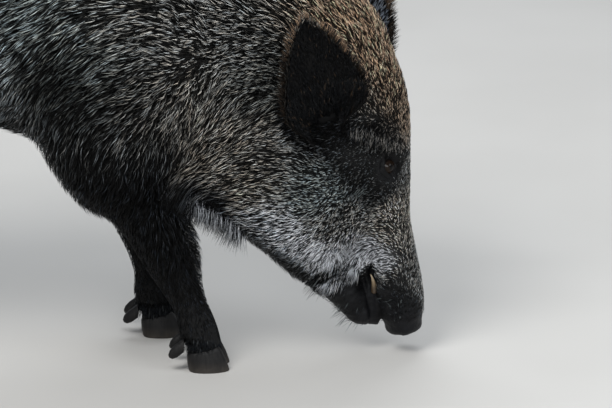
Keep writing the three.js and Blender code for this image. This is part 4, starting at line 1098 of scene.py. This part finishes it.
for q, (side, e) in enumerate(EARS.items()):
    V, T = ear_mesh(e)
    ear_meshes[side] = (V, T)
    N_ = vertex_normals(V, T)
    b, up, out, across = ear_frame(e)

    def uv_of(p, strip):
        r = p - b
        return np.stack([0.02 + 0.12 * strip + 0.10 * (np.clip((r @ across) / e["width"], -0.5, 0.5) + 0.5), 0.02 + 0.9 * np.clip((r @ up) / e["length"] + 0.14, 0, 1.1) / 1.14], 1)

    p, pick, w = scatter(V, T, lambda m: np.full(len(m), 2.3))
    n = unit((N_[T[pick]] * w[:, :, None]).sum(1))
    inner = (n @ out) > 0.15
    u = ((p - b) @ up) / e["length"]
    v = ((p - b) @ across) / (e["width"] * 0.5)
    d = up + across * (v * 0.55)[:, None]
    d = unit(d - n * (d * n).sum(1, keepdims=True))
    d = turned(d, n, (rng.random(len(p)) - 0.5) * 0.7)
    rim = np.abs((p - b) @ across) / ear_half(e, np.clip(u / 0.94, -0.14, 1))
    back = ~inner & (u > -0.05)
    L = 10 + 8 * rng.random(back.sum())
    cols = mixed(back.sum(), WARM if side == "right" else (.12, .135, .16), BLACK, 0.62)
    cols *= (1 - 0.9 * smoothstep(rim[back], 0.35, 0.7) * smoothstep(u[back], 0.95, 0.7))[:, None] if side == "right" else 1.0
    spindle(ears_coat, p[back], d[back], n[back], L, 2.5, 1.5, np.full((back.sum(), 3), 0.012), cols, uv_of(p[back], 4 * q))
    # a thin lining inside, denser at the root; its near-black colour is the black hair of the inner ear and partly
    # painted shade in the cup of the ear
    lin = inner & (rng.random(len(p)) < np.where(u < 0.35, 1.0, 0.6)) & (u > -0.13)
    L = np.where(u[lin] < 0.3, 16, 9) + 8 * rng.random(lin.sum())
    spindle(ears_coat, p[lin], d[lin], n[lin], L, 2.4, 1.1, np.full((lin.sum(), 3), 0.004), mixed(lin.sum(), RUST, BLACK, 0.04) * 0.3, uv_of(p[lin], 4 * q + 1))
    # the fringe along both rims
    m = 2000
    uu = rng.random(m) ** 0.8
    vv = np.where(rng.random(m) < 0.5, -1.0, 1.0) * (1 - 0.10 * rng.random(m))
    vv = np.where(uu > 0.93, (rng.random(m) * 2 - 1), vv)
    p = ear_point(e, uu * 0.99, vv, np.where(rng.random(m) < 0.5, 1.0, -1.0))
    d = up * 0.9 + across * (np.sign(vv) * (0.25 + 0.55 * rng.random(m)))[:, None] * (1 - smoothstep(uu, 0.8, 1.0))[:, None] + out * (rng.random(m) * 0.5 - 0.2)[:, None]
    nn = unit(across * np.sign(vv)[:, None] + out * (rng.random(m) - 0.4)[:, None])
    d = unit(d)
    L = 10 + 12 * rng.random(m)
    # rusty towards the tip of the ear, black lower down
    cols = mixed(m, tuple(1.7 * c_ for c_ in RUST), BLACK, 0.5) * (0.10 + 0.90 * smoothstep(uu - 0.22 * (vv < 0), 0.45, 0.72))[:, None]
    spindle(ears_coat, p, d, nn, L, 1.5, 1.0, np.full((m, 3), 0.01), cols, uv_of(p, 4 * q + 2))

# ------------------------------------------------------------------ tail

tail_v, tail_tri = tube(TAIL, tail_r, 20)
tn = vertex_normals(tail_v, tail_tri)
p, pick, w = scatter(tail_v, tail_tri, lambda m: np.full(len(m), 3.0))
n = unit((tn[tail_tri[pick]] * w[:, :, None]).sum(1))
k = np.argmin(((p[:, None, :] - TAIL[None, ::2]) ** 2).sum(2), axis=1) * 2
t_here = k / (len(TAIL) - 1)
tan = unit(np.gradient(TAIL, axis=0))[k]
d = unit(tan - n * (tan * n).sum(1, keepdims=True))
d = turned(d, n, (rng.random(len(p)) - 0.5) * 0.7)
L = np.interp(t_here, [0, .1, .6, .8, 1], [38, 26, 22, 36, 34]) * (0.75 + 0.5 * rng.random(len(p)))
hgt = np.interp(t_here, [0, .1, .6, .85, 1], [10, 6, 5, 9, 4]) * (0.4 + 0.7 * rng.random(len(p)))
cols = mixed(len(p), DUSK, BLACK, 0.4)
uvt = np.stack([0.97 + 0.02 * (np.arctan2(n[:, 1], n[:, 0]) / math.pi), 0.02 + 0.95 * t_here], 1)
spindle(ears_coat, p, d, n, L, hgt, 2.0, np.full((len(p), 3), 0.008), cols, uvt, two=True)

# ------------------------------------------------------------------ brows, lashes and bristles

extra = {"right": COATS["coat_face_right"], "left": COATS["coat_face_left"]}
for side, sg in (("right", -1), ("left", 1)):
    e = EYES[side]
    coat = extra[side]
    m = 300
    r = rng.random((m, 6))
    p = np.stack([192 + 62 * r[:, 0], sg * (46 + 24 * (1 - r[:, 0])), 336 - 26 * r[:, 0] + 16 * (r[:, 1] - 0.5)], 1)
    p = settle(flesh_field, p, 5)
    n = unit(slope(flesh_field, p))
    d = unit(np.array([-0.25, 0.35 * sg, -0.9]) + (r[:, 2:5] - 0.5) * 0.5)
    spindle(coat, p, d, n, 10 + 8 * r[:, 5], 6.0, 0.7, np.full((m, 3), 0.004), mixed(m, (.22, .21, .195), BLACK, 0.4), np.clip(unwrap(p, "head"), 0.02, 0.98))
    # lashes along the upper lid
    m = 46
    a = np.linspace(-0.7, 0.7, m) + (rng.random(m) - 0.5) * 0.03
    bb = 0.80 * np.maximum(1 - (a / 1.04) ** 2, 0) ** 0.6
    dr = unit(e["out"] + e["ax"] * np.tan(a)[:, None] + e["up"] * np.tan(bb)[:, None])
    p = e["c"] + dr * 15.6
    d = unit(dr + e["up"] * 0.75 - e["ax"] * 0.15)
    spindle(coat, p, d, dr, 7.5 + 3 * rng.random(m), 0.5, 0.55, np.full((m, 3), 0.004), np.full((m, 3), 0.006), np.clip(unwrap(p, "head"), 0.02, 0.98), drop=0.12)
    # bristles on the chin, the lips and under the eye
    m = 130
    r = rng.random((m, 6))
    zones_ = np.array([[196, 26, 62, 26], [245, 40, 100, 26], [255, 40, 60, 16], [215, 68, 248, 14], [150, 36, 112, 26]])
    zz = zones_[(r[:, 0] * 5).astype(int)]
    p = np.stack([zz[:, 0] + (r[:, 1] - .5) * zz[:, 3], sg * (zz[:, 1] + (r[:, 2] - .5) * 0.5 * zz[:, 3]), zz[:, 2] + (r[:, 3] - .5) * 1.6 * zz[:, 3]], 1)
    p = settle(flesh_field, p, 5)
    n = unit(slope(flesh_field, p))
    d = unit(lie(p, n) + n * 0.7 + (r[:, 2:5] - 0.5) * 0.6)
    spindle(coat, p, d, n, 14 + 12 * r[:, 5], 2.0, 0.6, np.full((m, 3), 0.006), mixed(m, COOL, BLACK, 0.4), np.clip(unwrap(p, "head"), 0.02, 0.98), drop=0.1)

    # the pale fringe that hangs from the cheek over the black of the lower jaw
    m = 1250
    r = rng.random((m, 6))
    t = 0.25 + 0.87 * r[:, 0]
    z_ = 92 + 36 * t + 9 * (r[:, 1] - 0.3)
    p = np.stack([28 + 1.4 * (92 + 36 * t) - 6 - 10 * r[:, 1], sg * (50 - 6 * t), z_], 1)
    p = settle(skin_field, p, 5)
    n = unit(slope(skin_field, p))
    d = unit(np.stack([-0.70 + 0.45 * t, 0.05 * sg + 0 * t, -0.72 - 0.2 * t], 1) + (r[:, 2:5] - 0.5) * 0.35)
    spindle(coat, p, d, n, (17 + 11 * r[:, 5]) * (0.6 + 0.4 * smoothstep(t, 0.3, 0.55)), 4.0, 0.72, np.full((m, 3), 0.01), np.minimum(mixed(m, (.70, .74, .80), BLACK, 0.54), 0.9), np.clip(unwrap(p, "head"), 0.02, 0.98))

    # the long hair that hangs along each side of the throat
    m = 1500
    r = rng.random((m, 6))
    t = r[:, 0]
    p = np.stack([-18 + 76 * t, sg * (74 - 26 * t), 258 - 52 * t + 16 * (r[:, 1] - 0.5)], 1)
    p = settle(flesh_field, p, 5)
    n = unit(slope(flesh_field, p))
    d = unit(np.array([-0.20, 0.10 * sg, -1.0]) + (r[:, 2:5] - 0.5) * [0.70, 0.36, 0.3])
    fringe = COATS["coat_neck_right" if sg < 0 else "coat_neck_left"]
    spindle(fringe, p, d, n, 22 + 30 * r[:, 5], 9.0, 0.78, np.full((m, 3), 0.004), mixed(m, (.60, .63, .67), BLACK, 0.44), np.clip(unwrap(p, "head"), 0.02, 0.98))

# the hair of each foot ends over the tops of the claws
for leg, v in LIMBS.items():
    fx, fy = v["foot"]
    fy *= v["sign"]
    m = 560
    r = rng.random((m, 6))
    a = 2 * math.pi * r[:, 0]
    p = np.stack([fx + 22 * np.cos(a), fy + 24 * np.sin(a), 40 + 12 * r[:, 1]], 1)
    p = settle(flesh_field, p, 4)
    n = unit(slope(flesh_field, p))
    d = unit(np.stack([0.10 * np.cos(a), 0.10 * np.sin(a), -1 + 0 * a], 1) + (r[:, 2:5] - 0.5) * 0.22)
    coat = COATS["coat_forelegs" if leg.startswith("fore") else "coat_hindlegs"]
    spindle(coat, p, d, n, 11 + 7 * r[:, 5], 1.6, 0.9, np.full((m, 3), 0.003), mixed(m, DUSK, BLACK, 0.08), np.clip(unwrap(p, "legs"), 0.02, 0.98))

# ------------------------------------------------------------------ materials

def material(name):
    m = bpy.data.materials.new(name)
    m.use_nodes = True
    nt = m.node_tree
    bsdf = nt.nodes["Principled BSDF"]
    return m, nt, bsdf


def node(nt, kind, **values):
    n = nt.nodes.new(kind)
    for k, v in values.items():
        if k in n.inputs:
            n.inputs[k].default_value = v
        else:
            setattr(n, k, v)
    return n


def ramp(nt, stops):
    r = nt.nodes.new("ShaderNodeValToRGB")
    el = r.color_ramp.elements
    while len(el) < len(stops):
        el.new(0.5)
    for s, (pos, col) in zip(el, stops):
        s.position = pos
        s.color = (*col, 1.0)
    return r


def bump(nt, bsdf, height_socket, distance, strength=1.0):
    b = node(nt, "ShaderNodeBump", Strength=strength, Distance=distance)
    nt.links.new(height_socket, b.inputs["Height"])
    nt.links.new(b.outputs["Normal"], bsdf.inputs["Normal"])
    return b


def mix_colour(nt, fac, a, b, mode="MIX"):
    m = nt.nodes.new("ShaderNodeMix")
    m.data_type, m.blend_type = "RGBA", mode
    for sock, val in ((m.inputs[0], fac), (m.inputs[6], a), (m.inputs[7], b)):
        if hasattr(val, "is_linked"):
            nt.links.new(val, sock)
        else:
            sock.default_value = val if not isinstance(val, tuple) else (*val, 1.0)
    return m.outputs[2]


# hair: root to tip colours from the tufts, with fine strands along each
hair_mat, nt, bsdf = material("bristle")
att = node(nt, "ShaderNodeAttribute", attribute_name="hair")
uvn = node(nt, "ShaderNodeUVMap", uv_map="OFBake")
mp = nt.nodes.new("ShaderNodeMapping")
mp.inputs["Scale"].default_value = (2600, 260, 1)
nt.links.new(uvn.outputs[0], mp.inputs[0])
strand = node(nt, "ShaderNodeTexNoise", Scale=1.0, Detail=2.0)
nt.links.new(mp.outputs[0], strand.inputs["Vector"])
shade_r = ramp(nt, [(0.3, (0.72, 0.72, 0.72)), (0.7, (1.22, 1.22, 1.22))])
nt.links.new(strand.outputs[0], shade_r.inputs[0])
ends = node(nt, "ShaderNodeMapRange")
ends.interpolation_type = "SMOOTHSTEP"
for key, val in (("From Min", 0.34), ("From Max", 0.74), ("To Min", 0.03), ("To Max", 1.0)):
    ends.inputs[key].default_value = val
nt.links.new(att.outputs["Alpha"], ends.inputs["Value"])
banded = mix_colour(nt, 1.0, att.outputs[0], ends.outputs[0], "MULTIPLY")
nt.links.new(mix_colour(nt, 1.0, banded, shade_r.outputs[0], "MULTIPLY"), bsdf.inputs["Base Color"])
bsdf.inputs["Roughness"].default_value = 0.42
bsdf.inputs["Specular IOR Level"].default_value = 0.13
bump(nt, bsdf, strand.outputs[0], 0.0004, 0.5)

# hide: dark under the coat, wrinkled and faintly moist where it is bare
skin_mat, nt, bsdf = material("hide")
tone_a = node(nt, "ShaderNodeAttribute", attribute_name="tone")
bare_a = node(nt, "ShaderNodeAttribute", attribute_name="bare")
tex = nt.nodes.new("ShaderNodeTexCoord")
fine = node(nt, "ShaderNodeTexNoise", Scale=190.0, Detail=4.0, Roughness=0.62)
coarse = node(nt, "ShaderNodeTexNoise", Scale=34.0, Detail=3.0)
cells = node(nt, "ShaderNodeTexVoronoi", Scale=330.0, feature="DISTANCE_TO_EDGE")
for t_ in (fine, coarse, cells):
    nt.links.new(tex.outputs["Object"], t_.inputs["Vector"])
mottle = ramp(nt, [(0.35, (0.62, 0.62, 0.62)), (0.65, (1.35, 1.35, 1.35))])
nt.links.new(coarse.outputs[0], mottle.inputs[0])
nt.links.new(mix_colour(nt, 1.0, tone_a.outputs[0], mottle.outputs[0], "MULTIPLY"), bsdf.inputs["Base Color"])
rough = node(nt, "ShaderNodeMapRange")
rough.inputs["To Min"].default_value, rough.inputs["To Max"].default_value = 0.78, 0.46
nt.links.new(bare_a.outputs["Fac"], rough.inputs["Value"])
wob = node(nt, "ShaderNodeMath", operation="MULTIPLY_ADD")
wob.inputs[1].default_value = 0.25
nt.links.new(fine.outputs[0], wob.inputs[0])
nt.links.new(rough.outputs[0], wob.inputs[2])
sub_ = node(nt, "ShaderNodeMath", operation="SUBTRACT")
nt.links.new(wob.outputs[0], sub_.inputs[0])
sub_.inputs[1].default_value = 0.125
nt.links.new(sub_.outputs[0], bsdf.inputs["Roughness"])
edge = node(nt, "ShaderNodeMath", operation="MINIMUM")
edge.inputs[1].default_value = 0.25
nt.links.new(cells.outputs["Distance"], edge.inputs[0])
tot = node(nt, "ShaderNodeMath", operation="ADD")
nt.links.new(edge.outputs[0], tot.inputs[0])
nt.links.new(fine.outputs[0], tot.inputs[1])
bump(nt, bsdf, tot.outputs[0], 0.0007, 0.8)
bsdf.inputs["Specular IOR Level"].default_value = 0.13

# horn: dark, streaked downwards, dusty towards the ground
hoof_mat, nt, bsdf = material("horn")
tex = nt.nodes.new("ShaderNodeTexCoord")
mp = nt.nodes.new("ShaderNodeMapping")
mp.inputs["Scale"].default_value = (420, 420, 26)
nt.links.new(tex.outputs["Object"], mp.inputs[0])
streak = node(nt, "ShaderNodeTexNoise", Scale=1.0, Detail=4.0)
nt.links.new(mp.outputs[0], streak.inputs["Vector"])
col = ramp(nt, [(0.3, (0.004, 0.004, 0.004)), (0.62, (0.009, 0.0085, 0.0085)), (0.85, (0.024, 0.021, 0.018))])
nt.links.new(streak.outputs[0], col.inputs[0])
sep = nt.nodes.new("ShaderNodeSeparateXYZ")
nt.links.new(tex.outputs["Object"], sep.inputs[0])
dust = node(nt, "ShaderNodeMapRange")
for key, val in (("From Min", 0.016), ("From Max", 0.0), ("To Min", 0.0), ("To Max", 0.35)):
    dust.inputs[key].default_value = val
nt.links.new(sep.outputs["Z"], dust.inputs["Value"])
spots = node(nt, "ShaderNodeTexNoise", Scale=90.0, Detail=3.0)
nt.links.new(tex.outputs["Object"], spots.inputs["Vector"])
dm = node(nt, "ShaderNodeMath", operation="MULTIPLY")
nt.links.new(dust.outputs[0], dm.inputs[0])
nt.links.new(spots.outputs[0], dm.inputs[1])
nt.links.new(mix_colour(nt, dm.outputs[0], col.outputs[0], (0.16, 0.135, 0.11)), bsdf.inputs["Base Color"])
bsdf.inputs["Roughness"].default_value = 0.5
bsdf.inputs["Specular IOR Level"].default_value = 0.22
bump(nt, bsdf, streak.outputs[0], 0.0006, 0.7)

# eye: near black with a dark brown iris, wet
eye_mat, nt, bsdf = material("wet_eye")
ia = node(nt, "ShaderNodeAttribute", attribute_name="iris")
col = ramp(nt, [(0.0, (0.002, 0.002, 0.002)), (0.20, (0.002, 0.002, 0.002)), (0.27, (0.007, 0.004, 0.002)), (0.60, (0.011, 0.006, 0.0035)), (0.70, (0.004, 0.003, 0.003)), (0.86, (0.012, 0.010, 0.009)), (1.0, (0.02, 0.016, 0.015))])
nt.links.new(ia.outputs["Fac"], col.inputs[0])
tex = nt.nodes.new("ShaderNodeTexCoord")
fib = node(nt, "ShaderNodeTexNoise", Scale=900.0, Detail=2.0)
nt.links.new(tex.outputs["Object"], fib.inputs["Vector"])
fr = ramp(nt, [(0.3, (0.7, 0.7, 0.7)), (0.7, (1.3, 1.3, 1.3))])
nt.links.new(fib.outputs[0], fr.inputs[0])
nt.links.new(mix_colour(nt, 1.0, col.outputs[0], fr.outputs[0], "MULTIPLY"), bsdf.inputs["Base Color"])
bsdf.inputs["Roughness"].default_value = 0.06
bsdf.inputs["Coat Weight"].default_value = 0.05
bsdf.inputs["Specular IOR Level"].default_value = 0.12
bsdf.inputs["Coat Roughness"].default_value = 0.03

# tusk: yellowed, stained towards the gum
tusk_mat, nt, bsdf = material("ivory")
tex = nt.nodes.new("ShaderNodeTexCoord")
grain = node(nt, "ShaderNodeTexNoise", Scale=260.0, Detail=3.0)
nt.links.new(tex.outputs["Object"], grain.inputs["Vector"])
sep = nt.nodes.new("ShaderNodeSeparateXYZ")
nt.links.new(tex.outputs["Object"], sep.inputs[0])
up_ = node(nt, "ShaderNodeMapRange")
up_.inputs["From Min"].default_value, up_.inputs["From Max"].default_value = 0.094, 0.118
nt.links.new(sep.outputs["Z"], up_.inputs["Value"])
ad = node(nt, "ShaderNodeMath", operation="MULTIPLY_ADD")
ad.inputs[1].default_value, ad.inputs[2].default_value = 0.35, -0.17
nt.links.new(grain.outputs[0], ad.inputs[0])
ad2 = node(nt, "ShaderNodeMath", operation="ADD")
nt.links.new(up_.outputs[0], ad2.inputs[0])
nt.links.new(ad.outputs[0], ad2.inputs[1])
col = ramp(nt, [(0.0, (0.06, 0.038, 0.02)), (0.4, (0.20, 0.145, 0.085)), (1.0, (0.44, 0.36, 0.24))])
nt.links.new(ad2.outputs[0], col.inputs[0])
nt.links.new(col.outputs[0], bsdf.inputs["Base Color"])
bsdf.inputs["Roughness"].default_value = 0.34
bump(nt, bsdf, grain.outputs[0], 0.0003, 0.4)


# ------------------------------------------------------------------ pieces

def piece(name, v, t, mat, slot, *nodes):
    me = mesh_from(name, place(v), tris=t)
    ob = bpy.data.objects.new(name, me)
    bpy.context.collection.objects.link(ob)
    me.materials.append(mat)
    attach(ob, "root")
    if nodes:
        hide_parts(*nodes)
    return ob


def attribute(ob, name, values):
    me = ob.data
    if np.ndim(values) == 1:
        a_ = me.attributes.new(name, "FLOAT", "POINT")
        a_.data.foreach_set("value", np.asarray(values, dtype=F))
    else:
        a_ = me.color_attributes.new(name, "FLOAT_COLOR", "POINT")
        a_.data.foreach_set("color", np.hstack([values, np.ones((len(values), 1))]).astype(F).ravel())


# the skin: body, ears and tail in one piece
skin_v, skin_t, offset = [body_v], [body_t], len(body_v)
for V, T in list(ear_meshes.values()) + [(tail_v, tail_tri)]:
    skin_v.append(V)
    skin_t.append(T + offset)
    offset += len(V)
skin_v, skin_t = np.vstack(skin_v), np.vstack(skin_t)
legs = [f"{leg}_{s}_{p_}" for leg, ps in (("foreleg", ("upper", "shin", "pastern")), ("hindleg", ("thigh", "shank", "pastern"))) for s in ("left", "right") for p_ in ps]
skin = piece("skin", skin_v, skin_t, skin_mat, "hide_dark", "trunk", "neck", "head", "lower_jaw", "nose", "tail", "ear_left", "ear_right", *legs)
bb = bare(body_v)
sh = blend_tones(body_v, TONES)
tone_v = np.repeat(sh[:, 4:5], 3, 1) * 1.1 + sh[:, :3] * 0.05
lid_near = np.minimum(np.linalg.norm(body_v - EYE_C[0], axis=1), np.linalg.norm(body_v - EYE_C[1], axis=1))
bare_tone = np.array([0.0056, 0.0058, 0.0068]) * (1 + 0.35 * noise3(body_v, 14, 31))[:, None] * (1 - 0.55 * smoothstep(lid_near, 30, 18))[:, None]
tone_v = tone_v * (1 - bb[:, None]) + bare_tone * bb[:, None]
n_rest = len(skin_v) - len(body_v)
tone_v = np.vstack([tone_v, np.tile([0.0035, 0.0033, 0.0033], (n_rest, 1))])
attribute(skin, "tone", tone_v)
attribute(skin, "bare", np.concatenate([bb, np.full(n_rest, 0.0)]))

for coat in COATS.values():
    coat.build(hair_mat, "coat_head" if "face" in coat.name else "coat_dark" if "legs" in coat.name or "tail" in coat.name else "coat_body")

# eyes
for side, sg in (("right", -1), ("left", 1)):
    e = EYES[side]
    gaze = unit(e["out"] + 0.10 * e["ax"])
    sx = unit(e["ax"] - gaze * e["ax"].dot(gaze))
    sy = np.cross(gaze, sx)
    rows, seg = 40, 64
    th = np.pi * (np.linspace(0, 1, rows + 1)[1:-1])
    ph = np.linspace(0, 2 * np.pi, seg, endpoint=False)
    R = EYE_RADIUS + 0.9 * smoothstep(th, 0.62, 0.25)
    V = (gaze * np.cos(th)[:, None, None] + (sx * np.cos(ph)[:, None] + sy * np.sin(ph)[:, None])[None] * np.sin(th)[:, None, None]) * R[:, None, None]
    V = np.vstack([V.reshape(-1, 3), gaze * (EYE_RADIUS + 0.9), -gaze * EYE_RADIUS]) + e["c"]
    T = []
    for r in range(rows - 2):
        for i in range(seg):
            a_, b_ = r * seg + i, r * seg + (i + 1) % seg
            T += [[a_, b_, b_ + seg], [a_, b_ + seg, a_ + seg]]
    for i in range(seg):
        j = (i + 1) % seg
        T += [[j, i, len(V) - 2], [i + (rows - 2) * seg, j + (rows - 2) * seg, len(V) - 1]]
    T = orient(V, np.array(T))
    ob = piece(f"eyeball_{side}", V, T, eye_mat, "eyeball", f"eye_{side}")
    r = V - e["c"]
    a_, b_ = r @ sx, r @ sy
    ang = np.arctan2(np.hypot(a_ / 1.0, b_ * (1.0 + 0.35 * smoothstep(np.hypot(a_, b_), 7, 3))), r @ gaze)
    attribute(ob, "iris", np.clip(ang / 1.15, 0, 1))

# tusks
for side, sg in (("right", -1), ("left", 1)):
    t = np.linspace(-0.15, 1, 26)
    C = np.stack([226 - 5 * t * t, (24 + 17 * t - 3 * t * t) * sg, 92 + TUSK_LENGTH * t], 1)
    R = 4.1 + (0.5 - 4.1) * np.clip(t, 0, 1) ** 1.2
    V, T = tube(C, R, 28, (0.82, 1.0))
    piece(f"tusk_ivory_{side}", V, T, tusk_mat, "tusk", f"tusk_{side}")


# hooves
def claw(fx, y, sign, inner):
    n, ts = 44, np.concatenate([[0, 0.02, 0.05, 0.1], np.linspace(0.16, 0.94, 14), [0.98, 1.0]])
    V = []
    for t in ts:
        scale = np.interp(t, [0, 0.02, 0.05, 0.1, 0.45, 0.9, 1], [0.955, 0.985, 0.998, 1.0, 0.952, 0.83, 0.74]) + 0.0035 * math.sin(t * 46)
        a = np.arange(n) / n * 2 * math.pi
        c_, s_ = np.cos(a), np.sin(a)
        along = np.where(c_ > 0, np.abs(c_) ** 0.85, -(np.abs(c_) ** 0.7) * 0.92)
        across = np.where(s_ * inner > 0, 0.74, 1.06) * np.sign(s_) * np.abs(s_) ** 0.85 * (1 - 0.22 * np.maximum(0, c_))
        X = fx + 3 + CLAW_LENGTH / 2 * scale * along - 8 * t
        V.append(np.stack([X, (y + CLAW_WIDTH / 2 * scale * across) * sign, t * (HOOF_HEIGHT - 6 + 0.22 * (X - fx))], 1))
    return close_rings(V)


def close_rings(rings):
    n = len(rings[0])
    V = np.vstack(rings + [rings[0].mean(0, keepdims=True), rings[-1].mean(0, keepdims=True)])
    T = []
    for r in range(len(rings) - 1):
        for i in range(n):
            a, b = r * n + i, r * n + (i + 1) % n
            T += [[a, b, b + n], [a, b + n, a + n]]
    for i in range(n):
        j = (i + 1) % n
        T += [[j, i, len(V) - 2], [i + (len(rings) - 1) * n, j + (len(rings) - 1) * n, len(V) - 1]]
    T = np.array(T)
    return V, orient(V, T)


def dewclaw(fx, y, sign):
    rings = []
    for t in np.linspace(0, 1, 14):
        r = np.interp(t, [0, .55, .85, 1], [7.5, 6.6, 4.6, 1.6])
        a = np.arange(24) / 24 * 2 * math.pi
        rings.append(np.stack([fx - 34.4 - 15 * t - 0.5 * t * r * np.sin(a) + 5 * (1 - t), (y + 1.5 * t + r * np.cos(a)) * sign, 36 - 15 * t + 1.25 * r * np.sin(a)], 1))
    return close_rings(rings)


for leg, v in LIMBS.items():
    fx, fy = v["foot"]
    sign = v["sign"]
    for which, inner in (("inner", 1), ("outer", -1)):
        V, T = claw(fx, fy - inner * 15.5, sign, inner)
        ob = piece(f"hoof_{leg}_{which}", V, T, hoof_mat, "hoof", f"{leg}_claw_{which}")
        V, T = dewclaw(fx, fy - inner * 19, sign)
        ob = piece(f"dewhoof_{leg}_{which}", V, T, hoof_mat, "hoof", f"{leg}_dewclaw_{which}")

# ------------------------------------------------------------------ floor, light and camera

floor_me = bpy.data.meshes.new("floor")
floor_me.from_pydata([(-30, -30, 0), (30, -30, 0), (30, 30, 0), (-30, 30, 0)], [], [(0, 1, 2, 3)])
floor = bpy.data.objects.new("floor", floor_me)
bpy.context.collection.objects.link(floor)
m, nt, bsdf = material("pale_floor")
tex = nt.nodes.new("ShaderNodeTexCoord")
fl = node(nt, "ShaderNodeTexNoise", Scale=3.0, Detail=2.0)
nt.links.new(tex.outputs["Object"], fl.inputs["Vector"])
cr = ramp(nt, [(0.3, (0.50, 0.49, 0.47)), (0.7, (0.53, 0.52, 0.50))])
nt.links.new(fl.outputs[0], cr.inputs[0])
nt.links.new(cr.outputs[0], bsdf.inputs["Base Color"])
bsdf.inputs["Roughness"].default_value = 0.85
floor_me.materials.append(m)

target = place([134.7, 0.0, 204.4])
ELEVATION, DISTANCE, WIDTH = math.radians(18), 7.0, 0.816
cam_data = bpy.data.cameras.new("camera")
cam_data.sensor_width = 36.0
cam_data.lens = 36.0 * DISTANCE / WIDTH
cam_data.clip_end = 200.0
cam = bpy.data.objects.new("camera", cam_data)
bpy.context.collection.objects.link(cam)
back = Vector((0, -math.cos(ELEVATION), math.sin(ELEVATION)))
cam.location = Vector(target) + back * DISTANCE
cam.rotation_mode = "QUATERNION"
cam.rotation_quaternion = (-back).to_track_quat("-Z", "Y")
bpy.context.scene.camera = cam


def area(name, where, aim, size, watts, colour):
    d = bpy.data.lights.new(name, "AREA")
    d.shape, d.size, d.energy, d.color = "DISK", size, watts, colour
    o = bpy.data.objects.new(name, d)
    bpy.context.collection.objects.link(o)
    o.location = where
    o.rotation_mode = "QUATERNION"
    o.rotation_quaternion = (Vector(aim) - Vector(where)).to_track_quat("-Z", "Y")
    return o


area("key", (-0.9, -2.0, 3.2), (0.2, 0, 0.35), 1.9, 110, (1.0, 0.99, 0.97))
area("fill", (2.8, -1.4, 1.8), (0.3, 0, 0.35), 2.0, 30, (0.93, 0.97, 1.0))
area("front", (1.1, -4.4, 1.6), (0.25, 0, 0.22), 1.9, 58, (0.97, 0.98, 1.0))
area("top", (0.3, 1.6, 3.0), (0.1, 0, 0.4), 2.4, 60, (0.94, 0.97, 1.0))
world = bpy.data.worlds.new("studio")
world.use_nodes = True
bg = world.node_tree.nodes["Background"]
bg.inputs[0].default_value = (0.80, 0.85, 0.92, 1)
bg.inputs[1].default_value = 0.40
bpy.context.scene.world = world
bpy.context.scene.view_settings.view_transform = "Standard"
